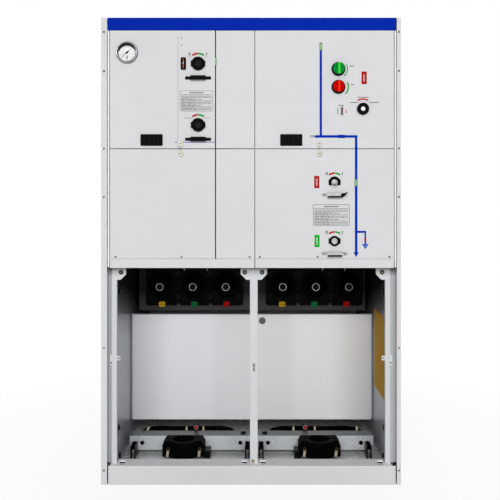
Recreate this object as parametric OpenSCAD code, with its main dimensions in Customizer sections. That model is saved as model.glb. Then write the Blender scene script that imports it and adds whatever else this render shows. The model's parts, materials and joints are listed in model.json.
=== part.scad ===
// Two-unit ring main unit: a floor-standing switchgear cabinet with its cable compartments open.
// X runs along the front, Y from the front (-Y) to the rear, Z up from the floor.

/* [Cabinet] */
// Overall width over the side panels
cab_w = 858; // [800:1:940]
// Depth from the front panels to the rear panel
cab_d = 850; // [780:1:950]
// Overall height
cab_h = 1336; // [1310:1:1450]
// Thickness of the folded sheets
sheet = 2; // [1.5:0.1:2.5]
// Thickness of the floor plate
floor_t = 3; // [2:0.5:5]
// Width of the flange at the front edge of the left side panel
left_flange_w = 17.5; // [14:0.5:20]
// Width of the flange at the front edge of the right side panel
right_flange_w = 12; // [10:0.5:16]
// Distance from a side panel's outer face to the face of the inner wall
wall_inset = 20; // [18:0.5:22]
// Distance from a side panel's outer face to the foundation bolts
bolt_inset = 59; // [44:1:89]
// Distance between the foundation bolts from front to rear
bolt_pitch_y = 640; // [580:1:700]
// Radius of the foundation bolt holes
bolt_r = 7; // [5:0.5:10]
// Room round a cable where it enters through the floor
entry_margin = 12; // [8:1:16]

/* [Front panels] */
// Height of the coloured band along the top
fascia_h = 36; // [28:1:44]
// Distance from the top of the cabinet down to the seam between upper and lower panels
seam_z = 375; // [370:1:381]
// Distance from the top of the cabinet down to the underside of the panel sills
sill_z = 716; // [712:1:726]
// Height of the panel sills
sill_h = 26; // [18:1:28]
// Place of the seam between the two units
unit_x = 11; // [6:1:16]
// Width of the filler panels in the left unit
filler_w = 110; // [100:1:112]
// Gap between neighbouring panels
seam_gap = 2; // [1:0.5:3]
// Gap between the left panels and their fillers
filler_gap = 3; // [2:0.5:5]
// Depth of the folded edges of the panels, and how far the posts stand behind the front
post_setback = 22; // [18:1:26]
// Width of the upright strip between a side panel and the front panels
strip_w = 4; // [3:0.5:5]
// How far the upright strips reach below the panel sills
strip_drop = 5; // [2:0.5:8]

/* [Posts and plinth] */
// Distance from a side panel's outer face to the outer edge of a side post
post_inset = 27; // [25:0.5:32]
// Width of the face of a side post
post_w = 14.5; // [12:0.5:20]
// Width of the centre post
centre_post_w = 22; // [16:1:30]
// Place of the centre post
centre_x = 8; // [4:1:12]
// Depth of the folded edges of the posts
post_return = 15; // [12:1:20]
// How far the outer leaf of a side post stands behind its face
post_step = 8; // [5:0.5:11]
// Depth of the fold under the top band
fascia_return = 14; // [8:1:20]
// Width of the latch slot in the centre post
latch_w = 9; // [6:0.5:12]
// Height of the latch slot in the centre post
latch_h = 23; // [16:1:30]
// Height of the middle of the latch slot
latch_z = 331; // [250:1:420]
// How far a corner gusset reaches beyond its post
gusset_reach = 27; // [20:1:36]
// Height of the corner gussets
gusset_h = 36; // [28:1:46]
// Cut at the corner of a gusset
gusset_cut = 16; // [10:1:18]
// Height of the plinth
plinth_h = 54; // [46:1:60]
// Depth of the flange on top of the plinth
plinth_flange = 60; // [50:1:80]
// Distance from a side panel's outer face to the end of the plinth's flange
plinth_inset = 25; // [20:1:26]
// Gap between the flange of a side panel and the plinth
plinth_gap = 3.5; // [2:0.5:5]
// Width of a slot for a door hook
hook_w = 13; // [10:0.5:16]
// Depth of a slot for a door hook
hook_d = 10; // [8:0.5:14]
// Distance from a post to the middle of its hook slot
hook_offset = 16; // [12:1:24]
// Width of the tab behind a hook slot
hook_tab_w = 16; // [12:0.5:20]
// Height of the tab behind a hook slot
hook_tab_h = 8; // [5:0.5:12]

/* [Tank and bushings] */
// Distance from the front panels to the face of the gas tank
tank_back = 505; // [490:1:540]
// Gap between the gas tank and an inner wall
tank_gap = 11; // [5:1:30]
// Distance from the top of the cabinet down to the underside of the gas tank
tank_z = 910; // [896:1:921]
// Distance from the top of the cabinet down to the top of the gas tank
tank_top = 46; // [36:1:86]
// Distance from the top of the cabinet down to the bushings
bushing_z = 816; // [806:1:824]
// Distance from the outer bushings to the wall and to the middle of the centre post
phase_edge = 96.5; // [92:0.5:102]
// How far the bushings stand out of the tank
bushing_reach = 100; // [80:1:130]
// Height of a bushing block above and below the collars of its bushings
block_h = 26; // [19:1:29]
// Thickness of a bushing block
block_t = 30; // [20:1:40]
// Gap between the collars of neighbouring bushings, halved
collar_gap = 10; // [6:0.5:16]
// How far the collar of a bushing overlaps its hole in the block
collar_lip = 6; // [3:0.5:10]
// Thickness of the collar of a bushing
collar_t = 7; // [4:0.5:12]
// Length of the slope from the collar of a bushing to its cone
slope_l = 8; // [4:0.5:14]
// Wall of a bushing at the root of its cone
cone_root_t = 18; // [14:0.5:22]
// Wall of a bushing at the tip of its cone
cone_tip_t = 9; // [6:0.5:12]
// Cut at the edge of the tip of a bushing
tip_cut = 4; // [2:0.5:6]
// Outer radius of a bushing contact
contact_r = 13; // [12:0.5:15]
// Radius of the threaded hole in a bushing contact
contact_bore_r = 8; // [6:0.5:10]
// Depth of the threaded hole in a bushing contact
contact_bore_l = 30; // [20:1:34]
// How far a bushing contact stands out of its bushing
contact_out = 1; // [0.5:0.25:3]
// Radius of the corners of a bushing block
block_corner_r = 10; // [4:1:16]
// Width of the notch between two phases
notch_w = 12; // [8:1:16]
// Height of the notch between two phases
notch_h = 8; // [5:1:12]
// Depth of the groove between two phases
groove_d = 6; // [3:1:10]
// Width of a phase tag
tag_w = 22; // [16:1:28]
// Height of a phase tag
tag_h = 18; // [14:1:24]
// Thickness of a phase tag
tag_t = 3; // [2:0.5:5]
// Radius of the corners of a phase tag
tag_r = 5; // [2:0.5:6]
// Thickness of the flange that fixes the tank to the inner walls
tank_flange_t = 4; // [3:0.5:6]
// Space between the tank and the rear panel
tank_clear = 40; // [20:1:60]
// Distance from the front panels to the drive units
drive_back = 70; // [60:1:90]
// How far a drive unit reaches beyond its shafts
drive_margin = 40; // [34:1:44]
// Depth of the bores that hold the shafts in a drive unit
drive_bore_l = 40; // [30:1:60]
// Space behind the end of a shaft in its bore
bore_end_gap = 2; // [1:0.5:6]

/* [Cable fixing] */
// Distance from the front panels to the rail that carries the cable clamps
rail_back = 262; // [250:1:280]
// Gap between an end of the rail and the inner wall
rail_gap = 19; // [9:1:39]
// Depth of the rail
rail_d = 52; // [44:1:60]
// Height of the rail's underside
rail_z = 15; // [12:1:20]
// Height of the rail section
rail_h = 46; // [40:1:56]
// Thickness of the rail and of its stands
rail_t = 3; // [2:0.5:4]
// Distance from an inner wall to the middle of its cable clamp
clamp_inset = 196; // [189:1:204]
// Width of a cable clamp
clamp_w = 131; // [124:1:150]
// Height of a cable clamp
clamp_h = 50; // [40:1:60]
// Radius of the cable that a clamp holds
cable_r = 33; // [25:0.5:34]
// Wall of a clamp in front of the cable
clamp_wall = 17; // [12:0.5:22]
// Thickness of the ears of a clamp
clamp_ear_t = 24; // [16:1:30]
// Wall of a clamp behind the cable
clamp_back_t = 4; // [3:0.5:8]
// Gap between the two halves of a clamp
clamp_gap = 0.6; // [0.4:0.1:0.9]
// Reach of a current transformer beyond the outer phases
ct_end = 44; // [33:1:53]
// Depth of a current transformer
ct_d = 110; // [90:1:120]
// Height of a current transformer
ct_h = 42; // [30:1:46]
// Wall of a current transformer round its window
ct_wall = 34; // [24:1:38]
// Gap between the rail and the current transformers
ct_gap = 0.5; // [0.3:0.1:0.8]
// Height of the notches in the rail over its stands
rail_notch = 20; // [12:1:26]
// Width of the side stands of the rail
stand_w = 22; // [16:1:30]
// Width of the centre stand of the rail
centre_stand_w = 56; // [44:1:66]
// Distance from an end of the rail to its outer hole
rail_hole_x = 40; // [36:1:60]
// Distance from the centre post to the inner holes in the rail
rail_hole_mid = 44; // [42:1:60]
// Width of a hole in the rail
rail_hole_w = 14; // [11:0.5:18]
// Height of a hole in the rail
rail_hole_h = 10; // [7:0.5:10.5]
// Width of the earth bar
bar_w = 20; // [12:1:28]
// Thickness of the earth bar
bar_t = 5; // [3:0.5:8]
// How far the clamps stand above the rail
clamp_rise = 2; // [0:0.5:6]
// Width of the cut at the upper corners of a clamp
clamp_cut_w = 9; // [4:0.5:14]
// Height of the cut at the upper corners of a clamp
clamp_cut_h = 14; // [6:0.5:20]
// Distance from the front panels to the rear covers
cover_back = 400; // [390:1:420]
// Depth of the folded edges of the rear covers
cover_return = 20; // [12:1:20]
// Height of the lower edge of the rear covers
cover_z = 73; // [60:1:90]
// Distance from the top of the cabinet down to the upper edge of the rear covers
cover_top = 908; // [898:1:930]
// Gap between a rear cover and the inner wall
cover_gap = 6; // [4:0.5:12]

/* [Controls] */
// How far the knobs stand out of the front panels
knob_out = 24; // [20:0.5:30]
// Radius of a knob
knob_r = 17.5; // [15:0.5:19]
// Radius of the ring round a knob
knob_ring_r = 20; // [19.5:0.5:22]
// Width of the grip bar on a knob
grip_w = 8.5; // [6:0.5:11]
// Radius of the operating shafts
shaft_r = 8.5; // [7:0.25:9]
// Radius of the charging shaft
charge_shaft_r = 6.5; // [5:0.25:7]
// Radius of the bore that a lever enters round its shaft
guide_bore_r = 11; // [10.5:0.25:12]
// Outer radius of a lever guide on the left unit
left_guide_r = 19; // [18:0.5:20]
// Half width of a left lever guide over its ears
left_ear = 20.3; // [20.1:0.1:22]
// Outer radius of a lever guide on the right unit
right_guide_r = 13; // [12.75:0.25:14]
// Half width of a right lever guide over its ears
right_ear = 17; // [16:0.5:18]
// Height of the ears of a lever guide
ear_h = 15.6; // [12:0.2:18]
// Outer radius of the charging guide
charge_guide_r = 17; // [14:0.5:18]
// How far the left lever guides stand out of the operating plate
guide_proud = 8; // [5:0.5:12]
// Length of a lever guide behind the front panels
guide_l = 26; // [20:1:32]
// Running clearance round a shaft, on the radius
shaft_play = 0.1; // [0.05:0.01:0.1]
// Radius of the outside of the pressure gauge
gauge_r = 31; // [28:0.5:36]
// Distance from the edge of the left panel to the middle of the pressure gauge
gauge_x = 49.5; // [42:0.5:64]
// Distance from the top of the cabinet down to the pressure gauge
gauge_z = 100; // [86:1:136]
// Place of the left unit's operating shafts along the front
left_lever_x = -151; // [-156:1:-146]
// Distance from the top of the cabinet down to the left unit's switch shaft
left_switch_z = 132; // [124:1:141]
// Distance from the top of the cabinet down to the left unit's earthing shaft
left_earth_z = 307; // [302:1:312]
// Distance from the middle of the right panels to the right unit's operating shafts
right_lever_x = 28.5; // [20:0.5:34]
// Distance from the top of the cabinet down to the right unit's disconnector shaft
right_switch_z = 471; // [461:1:481]
// Distance from the top of the cabinet down to the right unit's earthing shaft
right_earth_z = 639; // [631:1:642]
// Distance from the middle of the right panels to the charging shaft
charge_x = 109.5; // [104:0.5:115]
// Distance from the top of the cabinet down to the charging shaft
charge_z = 261; // [251:1:271]
// Distance from the middle of the right panels to the two knobs
knob_x = 39.5; // [32:0.5:47]
// Distance from the top of the cabinet down to the closing knob
close_z = 147; // [136:1:152]
// Distance from the top of the cabinet down to the opening knob
open_z = 198; // [194:1:211]
// Distance from a left shaft down to its padlock strap
left_strap_drop = 41; // [36:1:46]
// Distance from a right shaft down to its padlock strap
right_strap_drop = 36; // [32:1:38]
// Width of a padlock strap over its ears
strap_w = 74; // [66:1:80]
// Width of the raised middle of a padlock strap
strap_bridge_w = 43; // [36:1:50]
// Height of the raised middle of a padlock strap
strap_h = 13; // [10:0.5:15]
// Height of the ears of a padlock strap
strap_ear_h = 9; // [6:0.5:12]
// Clear height under the raised middle of a padlock strap
strap_gap = 9; // [7:0.5:11]
// Thickness of a padlock strap
strap_t = 2.5; // [2:0.25:3]
// Thickness of the left operating plate
plate_t = 1.5; // [1:0.25:2]
// Width of the left operating plate
plate_w = 106; // [96:1:112]
// Width of a voltage indicator
indicator_w = 63; // [56:1:72]
// Height of a voltage indicator
indicator_h = 33; // [26:1:36]
// Width of the frame of a voltage indicator
indicator_lip = 3; // [2:0.5:5]
// Distance from the top of the cabinet down to the middle of the voltage indicators
indicator_z = 350; // [346:1:352]
// Place of the left voltage indicator along the front
left_indicator_x = -284; // [-292:1:-276]
// Distance from the middle of the right panels to the right voltage indicator
right_indicator_x = -95.5; // [-104:0.5:-87]
// Place of the left pair of seal posts along the front
left_seal_x = -201; // [-204:1:-196]
// Distance from the middle of the right panels to the right pair of seal posts
right_seal_x = -14.5; // [-24:0.5:-4]
// Radius of a seal post
seal_r = 8.5; // [6:0.5:10]
// Distance of a seal post from the panel seam
seal_offset = 14; // [13:0.5:16]
// How much the rim of the pressure gauge overlaps its hole
gauge_lip = 3; // [2:0.5:4]
// Width of the rim of the pressure gauge
gauge_rim = 4; // [3:0.5:6]
// Width of the ring between the gauge's rim and its dial
gauge_ring = 1.5; // [1:0.25:3]
// Cut along the edge of the gauge's rim
rim_cut = 2; // [1:0.25:3]
// Thickness of the gauge dial
dial_t = 1; // [0.5:0.25:2]
// Thickness of the gauge glass
glass_t = 2; // [1:0.25:3]
// How much the ring round a knob overlaps its hole
ring_lip = 5; // [3:0.5:7]
// Place of the left position window along the front
window_x = -193; // [-196:1:-188]
// Width of the left position window
window_w = 15; // [12:0.5:18]
// Height of the left position window
window_h = 35; // [28:1:42]
// Width of the frame of the left position window
window_lip = 2; // [1:0.25:3]
// Distance from the middle of the right panels to the spring indicator
spring_x = 49.5; // [44:0.5:61]
// Width of the spring indicator
spring_w = 9; // [8:0.5:12]
// Height of the spring indicator
spring_h = 26; // [20:1:32]
// Width of the frame of the spring indicator
spring_lip = 1; // [0.75:0.25:1.5]
// Distance from the charging shaft down to the spring indicator
spring_drop = 6; // [0:1:12]
// Distance from the top of the cabinet down to the left operating plate
plate_top = 53; // [44:1:66]
// How far the rim of the pressure gauge stands out of the panel
gauge_out = 11; // [10:0.5:16]
// Length of the gauge case behind the panel
gauge_l = 35; // [25:1:45]
// Height of the seat of the gauge glass
glass_seat = 7; // [5:0.5:8]
// Height of the seat of the gauge dial
dial_seat = 1; // [0.5:0.5:3]
// Radius of the stem of a knob
stem_r = 8; // [6:0.25:9]
// How far the ring round a knob stands out of the panel
ring_out = 5; // [4:0.5:7]
// Gap between a knob and its ring
knob_gap = 0.5; // [0.3:0.1:0.9]
// Cut along the edges of the knobs and their rings
knob_cut = 1.5; // [0.5:0.25:2.5]
// How far the grip bar stands out of the face of a knob
grip_out = 9; // [6:0.5:10]
// How far the right lever guides stand out of the panel
flush_proud = 0.5; // [0.3:0.1:2]
// Thickness of the end of a lever guide, which carries the shaft
guide_end = 4; // [3:0.5:6]
// How far the end of a shaft lies inside its guide
shaft_sunk = 3; // [2:0.5:5]
// Distance from the front panels to the cross pin in a shaft
pin_back = 12; // [9:0.5:14]
// Radius of the cross pin in a shaft
pin_r = 2.5; // [1.5:0.25:3]
// Gap between the cross pin and the bore of its guide
pin_clear = 0.8; // [0.7:0.1:1.2]
// Radius of the centre hole in the end of a shaft
centre_r = 2; // [1:0.25:3]
// Depth of the centre hole in the end of a shaft
centre_l = 6; // [3:0.5:8]
// How far the frames of the indicators stand out of the panel
frame_out = 4; // [2:0.5:6]
// Depth of the recess in the face of an indicator
frame_recess = 2; // [1:0.25:3]
// Width of the step round the recess of an indicator
recess_step = 1; // [0.5:0.25:1.5]
// Radius of the corners of an indicator frame
frame_r = 2; // [1:0.25:4]
// Length of an indicator behind the front panels
window_l = 18; // [10:1:20]
// How far a seal post stands out of the panel
seal_out = 7; // [5:0.5:10]
// Cut along the edge of a seal post
seal_cut = 2; // [1:0.25:3]
// Width of the slot in a seal post
seal_slot_w = 2; // [1:0.25:3]
// Depth of the slot in a seal post
seal_slot_d = 2.5; // [1:0.25:4]

/* [Hidden] */
half_w = cab_w / 2;
front_y = -(cab_d - knob_out) / 2;
back_y = (cab_d + knob_out) / 2;
tank_y = front_y + tank_back;
rail_y = front_y + rail_back;
wall_x = half_w - wall_inset;
post_x = half_w - post_inset;
post_y = front_y + post_setback;
left_edge = -half_w + left_flange_w;
right_edge = half_w - right_flange_w;
strip_room = 2 * seam_gap + strip_w;
tank_x = wall_x - tank_gap;
rail_x = wall_x - rail_gap;
rail_hole_at = rail_x - rail_hole_x;
clamp_x = wall_x - clamp_inset;
bolt_x = half_w - bolt_inset;
bushing_offset = (wall_x + centre_x) / 2;
phase_pitch = bushing_offset - phase_edge;
collar_r = phase_pitch / 2 - collar_gap;
block_half = collar_r + block_h;
ct_w = 2 * (phase_pitch + ct_end);
seam_up = cab_h - seam_z;
sill_up = cab_h - sill_z;
tank_up = cab_h - tank_z;
tank_top_up = cab_h - tank_top;
bushing_up = cab_h - bushing_z;
cover_top_up = cab_h - cover_top;
gauge_up = cab_h - gauge_z;
left_switch_up = cab_h - left_switch_z;
left_earth_up = cab_h - left_earth_z;
right_switch_up = cab_h - right_switch_z;
right_earth_up = cab_h - right_earth_z;
charge_up = cab_h - charge_z;
close_up = cab_h - close_z;
open_up = cab_h - open_z;
indicator_up = cab_h - indicator_z;
plate_top_up = cab_h - plate_top;
spring_up = charge_up - spring_drop;
cable_y = rail_y - cable_r - clamp_back_t;
left_x0 = left_edge + strip_room;
filler_x1 = unit_x - seam_gap / 2;
filler_x0 = filler_x1 - filler_w;
left_x1 = filler_x0 - filler_gap;
right_x0 = unit_x + seam_gap / 2;
right_x1 = right_edge - strip_room;
right_mid = (right_x0 + right_x1) / 2;
gauge_at = left_x0 + gauge_x;
right_lever_at = right_mid + right_lever_x;
charge_at = right_mid + charge_x;
knob_at = right_mid + knob_x;
spring_at = right_mid + spring_x;
right_indicator_at = right_mid + right_indicator_x;
right_seal_at = right_mid + right_seal_x;
upper_z0 = seam_up + seam_gap / 2;
upper_z1 = cab_h - fascia_h - seam_gap / 2;
lower_z0 = sill_up + sill_h + seam_gap / 4;
lower_z1 = seam_up - seam_gap / 2;
pin_reach = guide_bore_r - pin_clear;
drive_y = front_y + drive_back;
contact_y = tank_y - bushing_reach - contact_out;
stands = [
    [-rail_x + stand_w / 2, stand_w],
    [centre_x, centre_stand_w],
    [rail_x - stand_w / 2, stand_w]
];
hole_fit = 0.2;
corner_fn = 48;
round_fn = 64;

paint = [0.86, 0.86, 0.87];
inner_paint = [0.79, 0.80, 0.81];
galvanised = [0.60, 0.64, 0.67];
resin = [0.06, 0.06, 0.065];
moulded = [0.05, 0.05, 0.055];
brass_tone = [0.72, 0.62, 0.40];
bright = [0.80, 0.81, 0.82];
ivory = [0.86, 0.83, 0.72];
blue = [0.02, 0.16, 0.62];

// A box between two corners.
module box(x0, x1, y0, y1, z0, z1) {
    translate([x0, y0, z0]) cube([x1 - x0, y1 - y0, z1 - z0]);
}

// A round bar along Y.
module rod(x, z, y0, y1, r) {
    translate([x, y0, z]) rotate([-90, 0, 0]) cylinder(r = r, h = y1 - y0, $fn = round_fn);
}

// A turned shape about an axis along Y, with its profile heights measured forwards from y.
module turned(x, y, z) {
    translate([x, y, z]) rotate([90, 0, 0]) rotate_extrude($fn = round_fn) children();
}

// A rectangle with round corners, centred.
module round_rect(w, h, r) {
    square([w - 2 * r, h], center = true);
    square([w, h - 2 * r], center = true);
    for (sx = [-1, 1]) {
        for (sy = [-1, 1]) {
            translate([sx * (w / 2 - r), sy * (h / 2 - r)]) circle(r = r, $fn = corner_fn);
        }
    }
}

// A flat outline drawn in X and Z, standing upright and reaching back from y by t.
module upright(x, y, z, t) {
    translate([x, y + t, z]) rotate([90, 0, 0]) linear_extrude(t) children();
}

// Cabinet shell

module side_panel(flange) {
    color(paint) {
        box(-half_w, -half_w + sheet, front_y, back_y, 0, cab_h);
        box(-half_w, -half_w + flange, front_y, front_y + sheet, 0, cab_h);
    }
}

module left_side_panel() {
    side_panel(left_flange_w);
}

module right_side_panel() {
    mirror([1, 0, 0]) side_panel(right_flange_w);
}

module rear_panel() {
    color(paint) box(-half_w + sheet, half_w - sheet, back_y - sheet, back_y, 0, cab_h);
}

module roof_panel() {
    color(paint)
        box(-half_w + sheet, half_w - sheet, front_y + sheet, back_y - sheet, cab_h - sheet, cab_h);
}

module floor_plate() {
    mid_y = (front_y + back_y) / 2;
    entry = cable_r + entry_margin;
    color(galvanised) difference() {
        box(-half_w + sheet, half_w - sheet, front_y + sheet, back_y - sheet, 0, floor_t);
        for (sx = [-1, 1]) {
            for (sy = [-1, 1]) {
                translate([sx * bolt_x, mid_y + sy * bolt_pitch_y / 2, -1])
                    cylinder(r = bolt_r, h = floor_t + 2, $fn = corner_fn);
            }
            box(sx * clamp_x - entry, sx * clamp_x + entry,
                cable_y - entry, cable_y + entry, -1, floor_t + 1);
        }
    }
}

// Front board of the base, with a flange that takes the hooks of the compartment doors.
module plinth_front() {
    end_x = half_w - plinth_inset;
    side_hook = post_x - post_w - hook_offset;
    mid_hook = centre_post_w / 2 + hook_offset;
    hooks = [-side_hook, centre_x - mid_hook, centre_x + mid_hook, side_hook];
    color(paint) difference() {
        union() {
            box(left_edge + plinth_gap, right_edge - plinth_gap, front_y, front_y + sheet, 0, plinth_h);
            box(-end_x, end_x, front_y, front_y + plinth_flange, plinth_h - sheet, plinth_h);
            for (sx = [-1, 1]) {
                translate([sx * (end_x - sheet / 2), front_y + plinth_flange / 2, (plinth_h + floor_t) / 2])
                    cube([sheet, plinth_flange, plinth_h - floor_t], center = true);
            }
            for (x = hooks) {
                box(x - hook_tab_w / 2, x + hook_tab_w / 2, post_y, post_y + sheet,
                    plinth_h - sheet, plinth_h + hook_tab_h);
            }
        }
        for (x = hooks) {
            box(x - hook_w / 2, x + hook_w / 2, post_y - hook_d - 1, post_y - 1,
                plinth_h - sheet - 1, plinth_h + 1);
        }
    }
}

module inner_wall() {
    color(galvanised)
        box(-wall_x - sheet, -wall_x, post_y + post_step + sheet, back_y - sheet, floor_t, cab_h - sheet);
}

module left_inner_wall() {
    inner_wall();
}

module right_inner_wall() {
    mirror([1, 0, 0]) inner_wall();
}

// Posts

// Folded side post: a leaf on the side panel, a step forwards, the face and a short return.
// A strip on its leaf stands between the side panel's flange and the front panels.
module side_post(flange) {
    face_in = post_x - post_w;
    strip_x = -half_w + flange + seam_gap;
    color(paint) {
        box(strip_x, strip_x + strip_w, front_y, post_y + post_step + sheet, sill_up - strip_drop, upper_z1);
        translate([0, 0, plinth_h]) linear_extrude(cab_h - sheet - plinth_h) {
            translate([-half_w + sheet, post_y + post_step]) square([half_w - sheet - post_x + sheet, sheet]);
            translate([-post_x, post_y]) square([sheet, post_step + sheet]);
            translate([-post_x, post_y]) square([post_w, sheet]);
            translate([-face_in - sheet, post_y]) square([sheet, post_return]);
        }
        upright(0, post_y, 0, sheet) polygon([
            [-post_x, sill_up],
            [-post_x, sill_up - gusset_h],
            [-face_in + gusset_reach - gusset_cut, sill_up - gusset_h],
            [-face_in + gusset_reach, sill_up - gusset_h + gusset_cut],
            [-face_in + gusset_reach, sill_up]
        ]);
    }
}

module left_post() {
    side_post(left_flange_w);
}

module right_post() {
    mirror([1, 0, 0]) side_post(right_flange_w);
}

module centre_post() {
    half = centre_post_w / 2;
    wide = half + gusset_reach;
    color(paint) difference() {
        union() {
            translate([centre_x, post_y, plinth_h]) linear_extrude(cab_h - sheet - plinth_h) {
                translate([-half, 0]) square([centre_post_w, sheet]);
                translate([-half, 0]) square([sheet, post_return]);
                translate([half - sheet, 0]) square([sheet, post_return]);
            }
            upright(centre_x, post_y, 0, sheet) polygon([
                [-wide, sill_up],
                [-wide, sill_up - gusset_h + gusset_cut],
                [-wide + gusset_cut, sill_up - gusset_h],
                [wide - gusset_cut, sill_up - gusset_h],
                [wide, sill_up - gusset_h + gusset_cut],
                [wide, sill_up]
            ]);
        }
        box(centre_x - latch_w / 2, centre_x + latch_w / 2, post_y - 1, post_y + sheet + 1,
            latch_z - latch_h / 2, latch_z + latch_h / 2);
    }
}

// Front panels

module top_fascia() {
    low_z = cab_h - fascia_h;
    x0 = left_edge + seam_gap;
    x1 = right_edge - seam_gap;
    color(blue) {
        box(x0, x1, front_y, front_y + sheet, low_z, cab_h);
        box(x0, x1, front_y, front_y + fascia_return, low_z, low_z + sheet);
    }
}

// A panel folded back on all four edges, so that its edges rest on the posts.
module pan(x0, x1, z0, z1) {
    difference() {
        box(x0, x1, front_y, post_y, z0, z1);
        box(x0 + sheet, x1 - sheet, front_y + sheet, post_y + 1, z0 + sheet, z1 - sheet);
    }
}

// A round hole through the front sheet.
module front_hole(x, z, r) {
    rod(x, z, front_y - plate_t - 1, front_y + sheet + 1, r);
}

// A rectangular hole through the front sheet.
module front_window(x, z, w, h) {
    box(x - w / 2, x + w / 2, front_y - plate_t - 1, front_y + sheet + 1, z - h / 2, z + h / 2);
}

// The keyhole outline of a lever guide, through the front sheet.
module guide_hole(x, z, r, ear_half) {
    front_hole(x, z, r + hole_fit);
    front_window(x, z, 2 * (ear_half + hole_fit), ear_h + 2 * hole_fit);
}

module left_upper_panel() {
    color(paint) difference() {
        pan(left_x0, left_x1, upper_z0, upper_z1);
        front_hole(gauge_at, gauge_up, gauge_r - gauge_lip + hole_fit);
        guide_hole(left_lever_x, left_switch_up, left_guide_r, left_ear);
        guide_hole(left_lever_x, left_earth_up, left_guide_r, left_ear);
        front_window(left_indicator_x, indicator_up,
            indicator_w - 2 * indicator_lip, indicator_h - 2 * indicator_lip);
        front_window(window_x, left_switch_up, window_w - 2 * window_lip, window_h - 2 * window_lip);
    }
}

module left_lower_panel() {
    color(paint) pan(left_x0, left_x1, lower_z0, lower_z1);
}

module left_fillers() {
    color(paint) {
        pan(filler_x0, filler_x1, upper_z0, upper_z1);
        pan(filler_x0, filler_x1, lower_z0, lower_z1);
    }
}

module right_upper_panel() {
    color(paint) difference() {
        pan(right_x0, right_x1, upper_z0, upper_z1);
        for (z = [close_up, open_up]) {
            front_hole(knob_at, z, knob_ring_r - ring_lip + hole_fit);
        }
        front_hole(charge_at, charge_up, charge_guide_r + hole_fit);
        front_window(right_indicator_at, indicator_up,
            indicator_w - 2 * indicator_lip, indicator_h - 2 * indicator_lip);
        front_window(spring_at, spring_up, spring_w - 2 * spring_lip, spring_h - 2 * spring_lip);
    }
}

module right_lower_panel() {
    color(paint) difference() {
        pan(right_x0, right_x1, lower_z0, lower_z1);
        guide_hole(right_lever_at, right_switch_up, right_guide_r, right_ear);
        guide_hole(right_lever_at, right_earth_up, right_guide_r, right_ear);
    }
}

module sill(x0, x1) {
    box(x0, x1, front_y, front_y + sheet, sill_up, sill_up + sill_h);
    box(x0, x1, front_y, post_y, sill_up, sill_up + sheet);
    box(x0, x1, front_y, post_y, sill_up + sill_h - sheet, sill_up + sill_h);
}

module panel_sills() {
    color(paint) {
        sill(left_x0, filler_x1);
        sill(right_x0, right_x1);
    }
}

module compartment_ceiling() {
    notch_y = post_y + post_return + hole_fit;
    side_in = post_x - post_w - hole_fit;
    mid_half = centre_post_w / 2 + hole_fit;
    color(galvanised) difference() {
        box(-wall_x, wall_x, post_y, tank_y, sill_up, sill_up + sheet);
        box(-wall_x - 1, -side_in, post_y - 1, notch_y, sill_up - 1, sill_up + sheet + 1);
        box(side_in, wall_x + 1, post_y - 1, notch_y, sill_up - 1, sill_up + sheet + 1);
        box(centre_x - mid_half, centre_x + mid_half, post_y - 1, notch_y, sill_up - 1, sill_up + sheet + 1);
    }
}

// Tank, drives and bushings

module gas_tank() {
    color(inner_paint) {
        box(-tank_x, tank_x, tank_y, back_y - sheet - tank_clear, tank_up, tank_top_up);
        box(-wall_x, wall_x, tank_y, tank_y + tank_flange_t, sill_up + sheet, tank_top_up);
    }
}

// Bore in a drive unit for the inner end of a shaft.
module drive_bore(x, z, r) {
    rod(x, z, drive_y - 1, drive_y + drive_bore_l, r + shaft_play);
}

// Closed housings of the spring drives, fixed to the tank behind the front panels.
module drive_units() {
    color(galvanised) {
        difference() {
            box(left_lever_x - drive_margin, left_lever_x + drive_margin, drive_y, tank_y,
                left_earth_up - drive_margin, left_switch_up + drive_margin);
            drive_bore(left_lever_x, left_switch_up, shaft_r);
            drive_bore(left_lever_x, left_earth_up, shaft_r);
        }
        difference() {
            box(right_lever_at - drive_margin, charge_at + drive_margin, drive_y, tank_y,
                right_earth_up - drive_margin, close_up + drive_margin);
            drive_bore(right_lever_at, right_switch_up, shaft_r);
            drive_bore(right_lever_at, right_earth_up, shaft_r);
            drive_bore(charge_at, charge_up, charge_shaft_r);
            drive_bore(knob_at, close_up, stem_r);
            drive_bore(knob_at, open_up, stem_r);
        }
    }
}

// A cast bushing: a body through the block, a collar on it and a cone round the contact.
module bushing(x) {
    cone_z = block_t + collar_t + slope_l;
    contact_hole_r = contact_r + hole_fit;
    turned(x, tank_y, bushing_up) polygon([
        [contact_hole_r, 0],
        [collar_r - collar_lip, 0],
        [collar_r - collar_lip, block_t + hole_fit],
        [collar_r, block_t + hole_fit],
        [collar_r, block_t + collar_t],
        [contact_r + cone_root_t, cone_z],
        [contact_r + cone_tip_t, bushing_reach - tip_cut],
        [contact_r + cone_tip_t - tip_cut, bushing_reach],
        [contact_hole_r, bushing_reach]
    ]);
}

// A block on the tank with three bushings through it, and a notch and a groove between the phases.
module bushing_block(mid_x) {
    face_y = tank_y - block_t;
    low_z = bushing_up - block_half;
    body_r = collar_r - collar_lip;
    color(resin) {
        difference() {
            upright(mid_x, face_y, bushing_up, block_t)
                round_rect(3 * phase_pitch, 2 * block_half, block_corner_r);
            for (i = [-1 : 1]) {
                rod(mid_x + i * phase_pitch, bushing_up, face_y - 1, tank_y + 1, body_r + hole_fit);
            }
            for (i = [-0.5, 0.5]) {
                x = mid_x + i * phase_pitch;
                box(x - notch_w / 2, x + notch_w / 2, face_y - 1, tank_y + 1, low_z - 1, low_z + notch_h);
                box(x - notch_w / 4, x + notch_w / 4, face_y - 1, face_y + groove_d,
                    low_z - 1, low_z + 2 * block_half + 1);
            }
        }
        for (i = [-1 : 1]) {
            bushing(mid_x + i * phase_pitch);
        }
    }
}

module left_bushing_block() {
    bushing_block(centre_x - bushing_offset);
}

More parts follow.
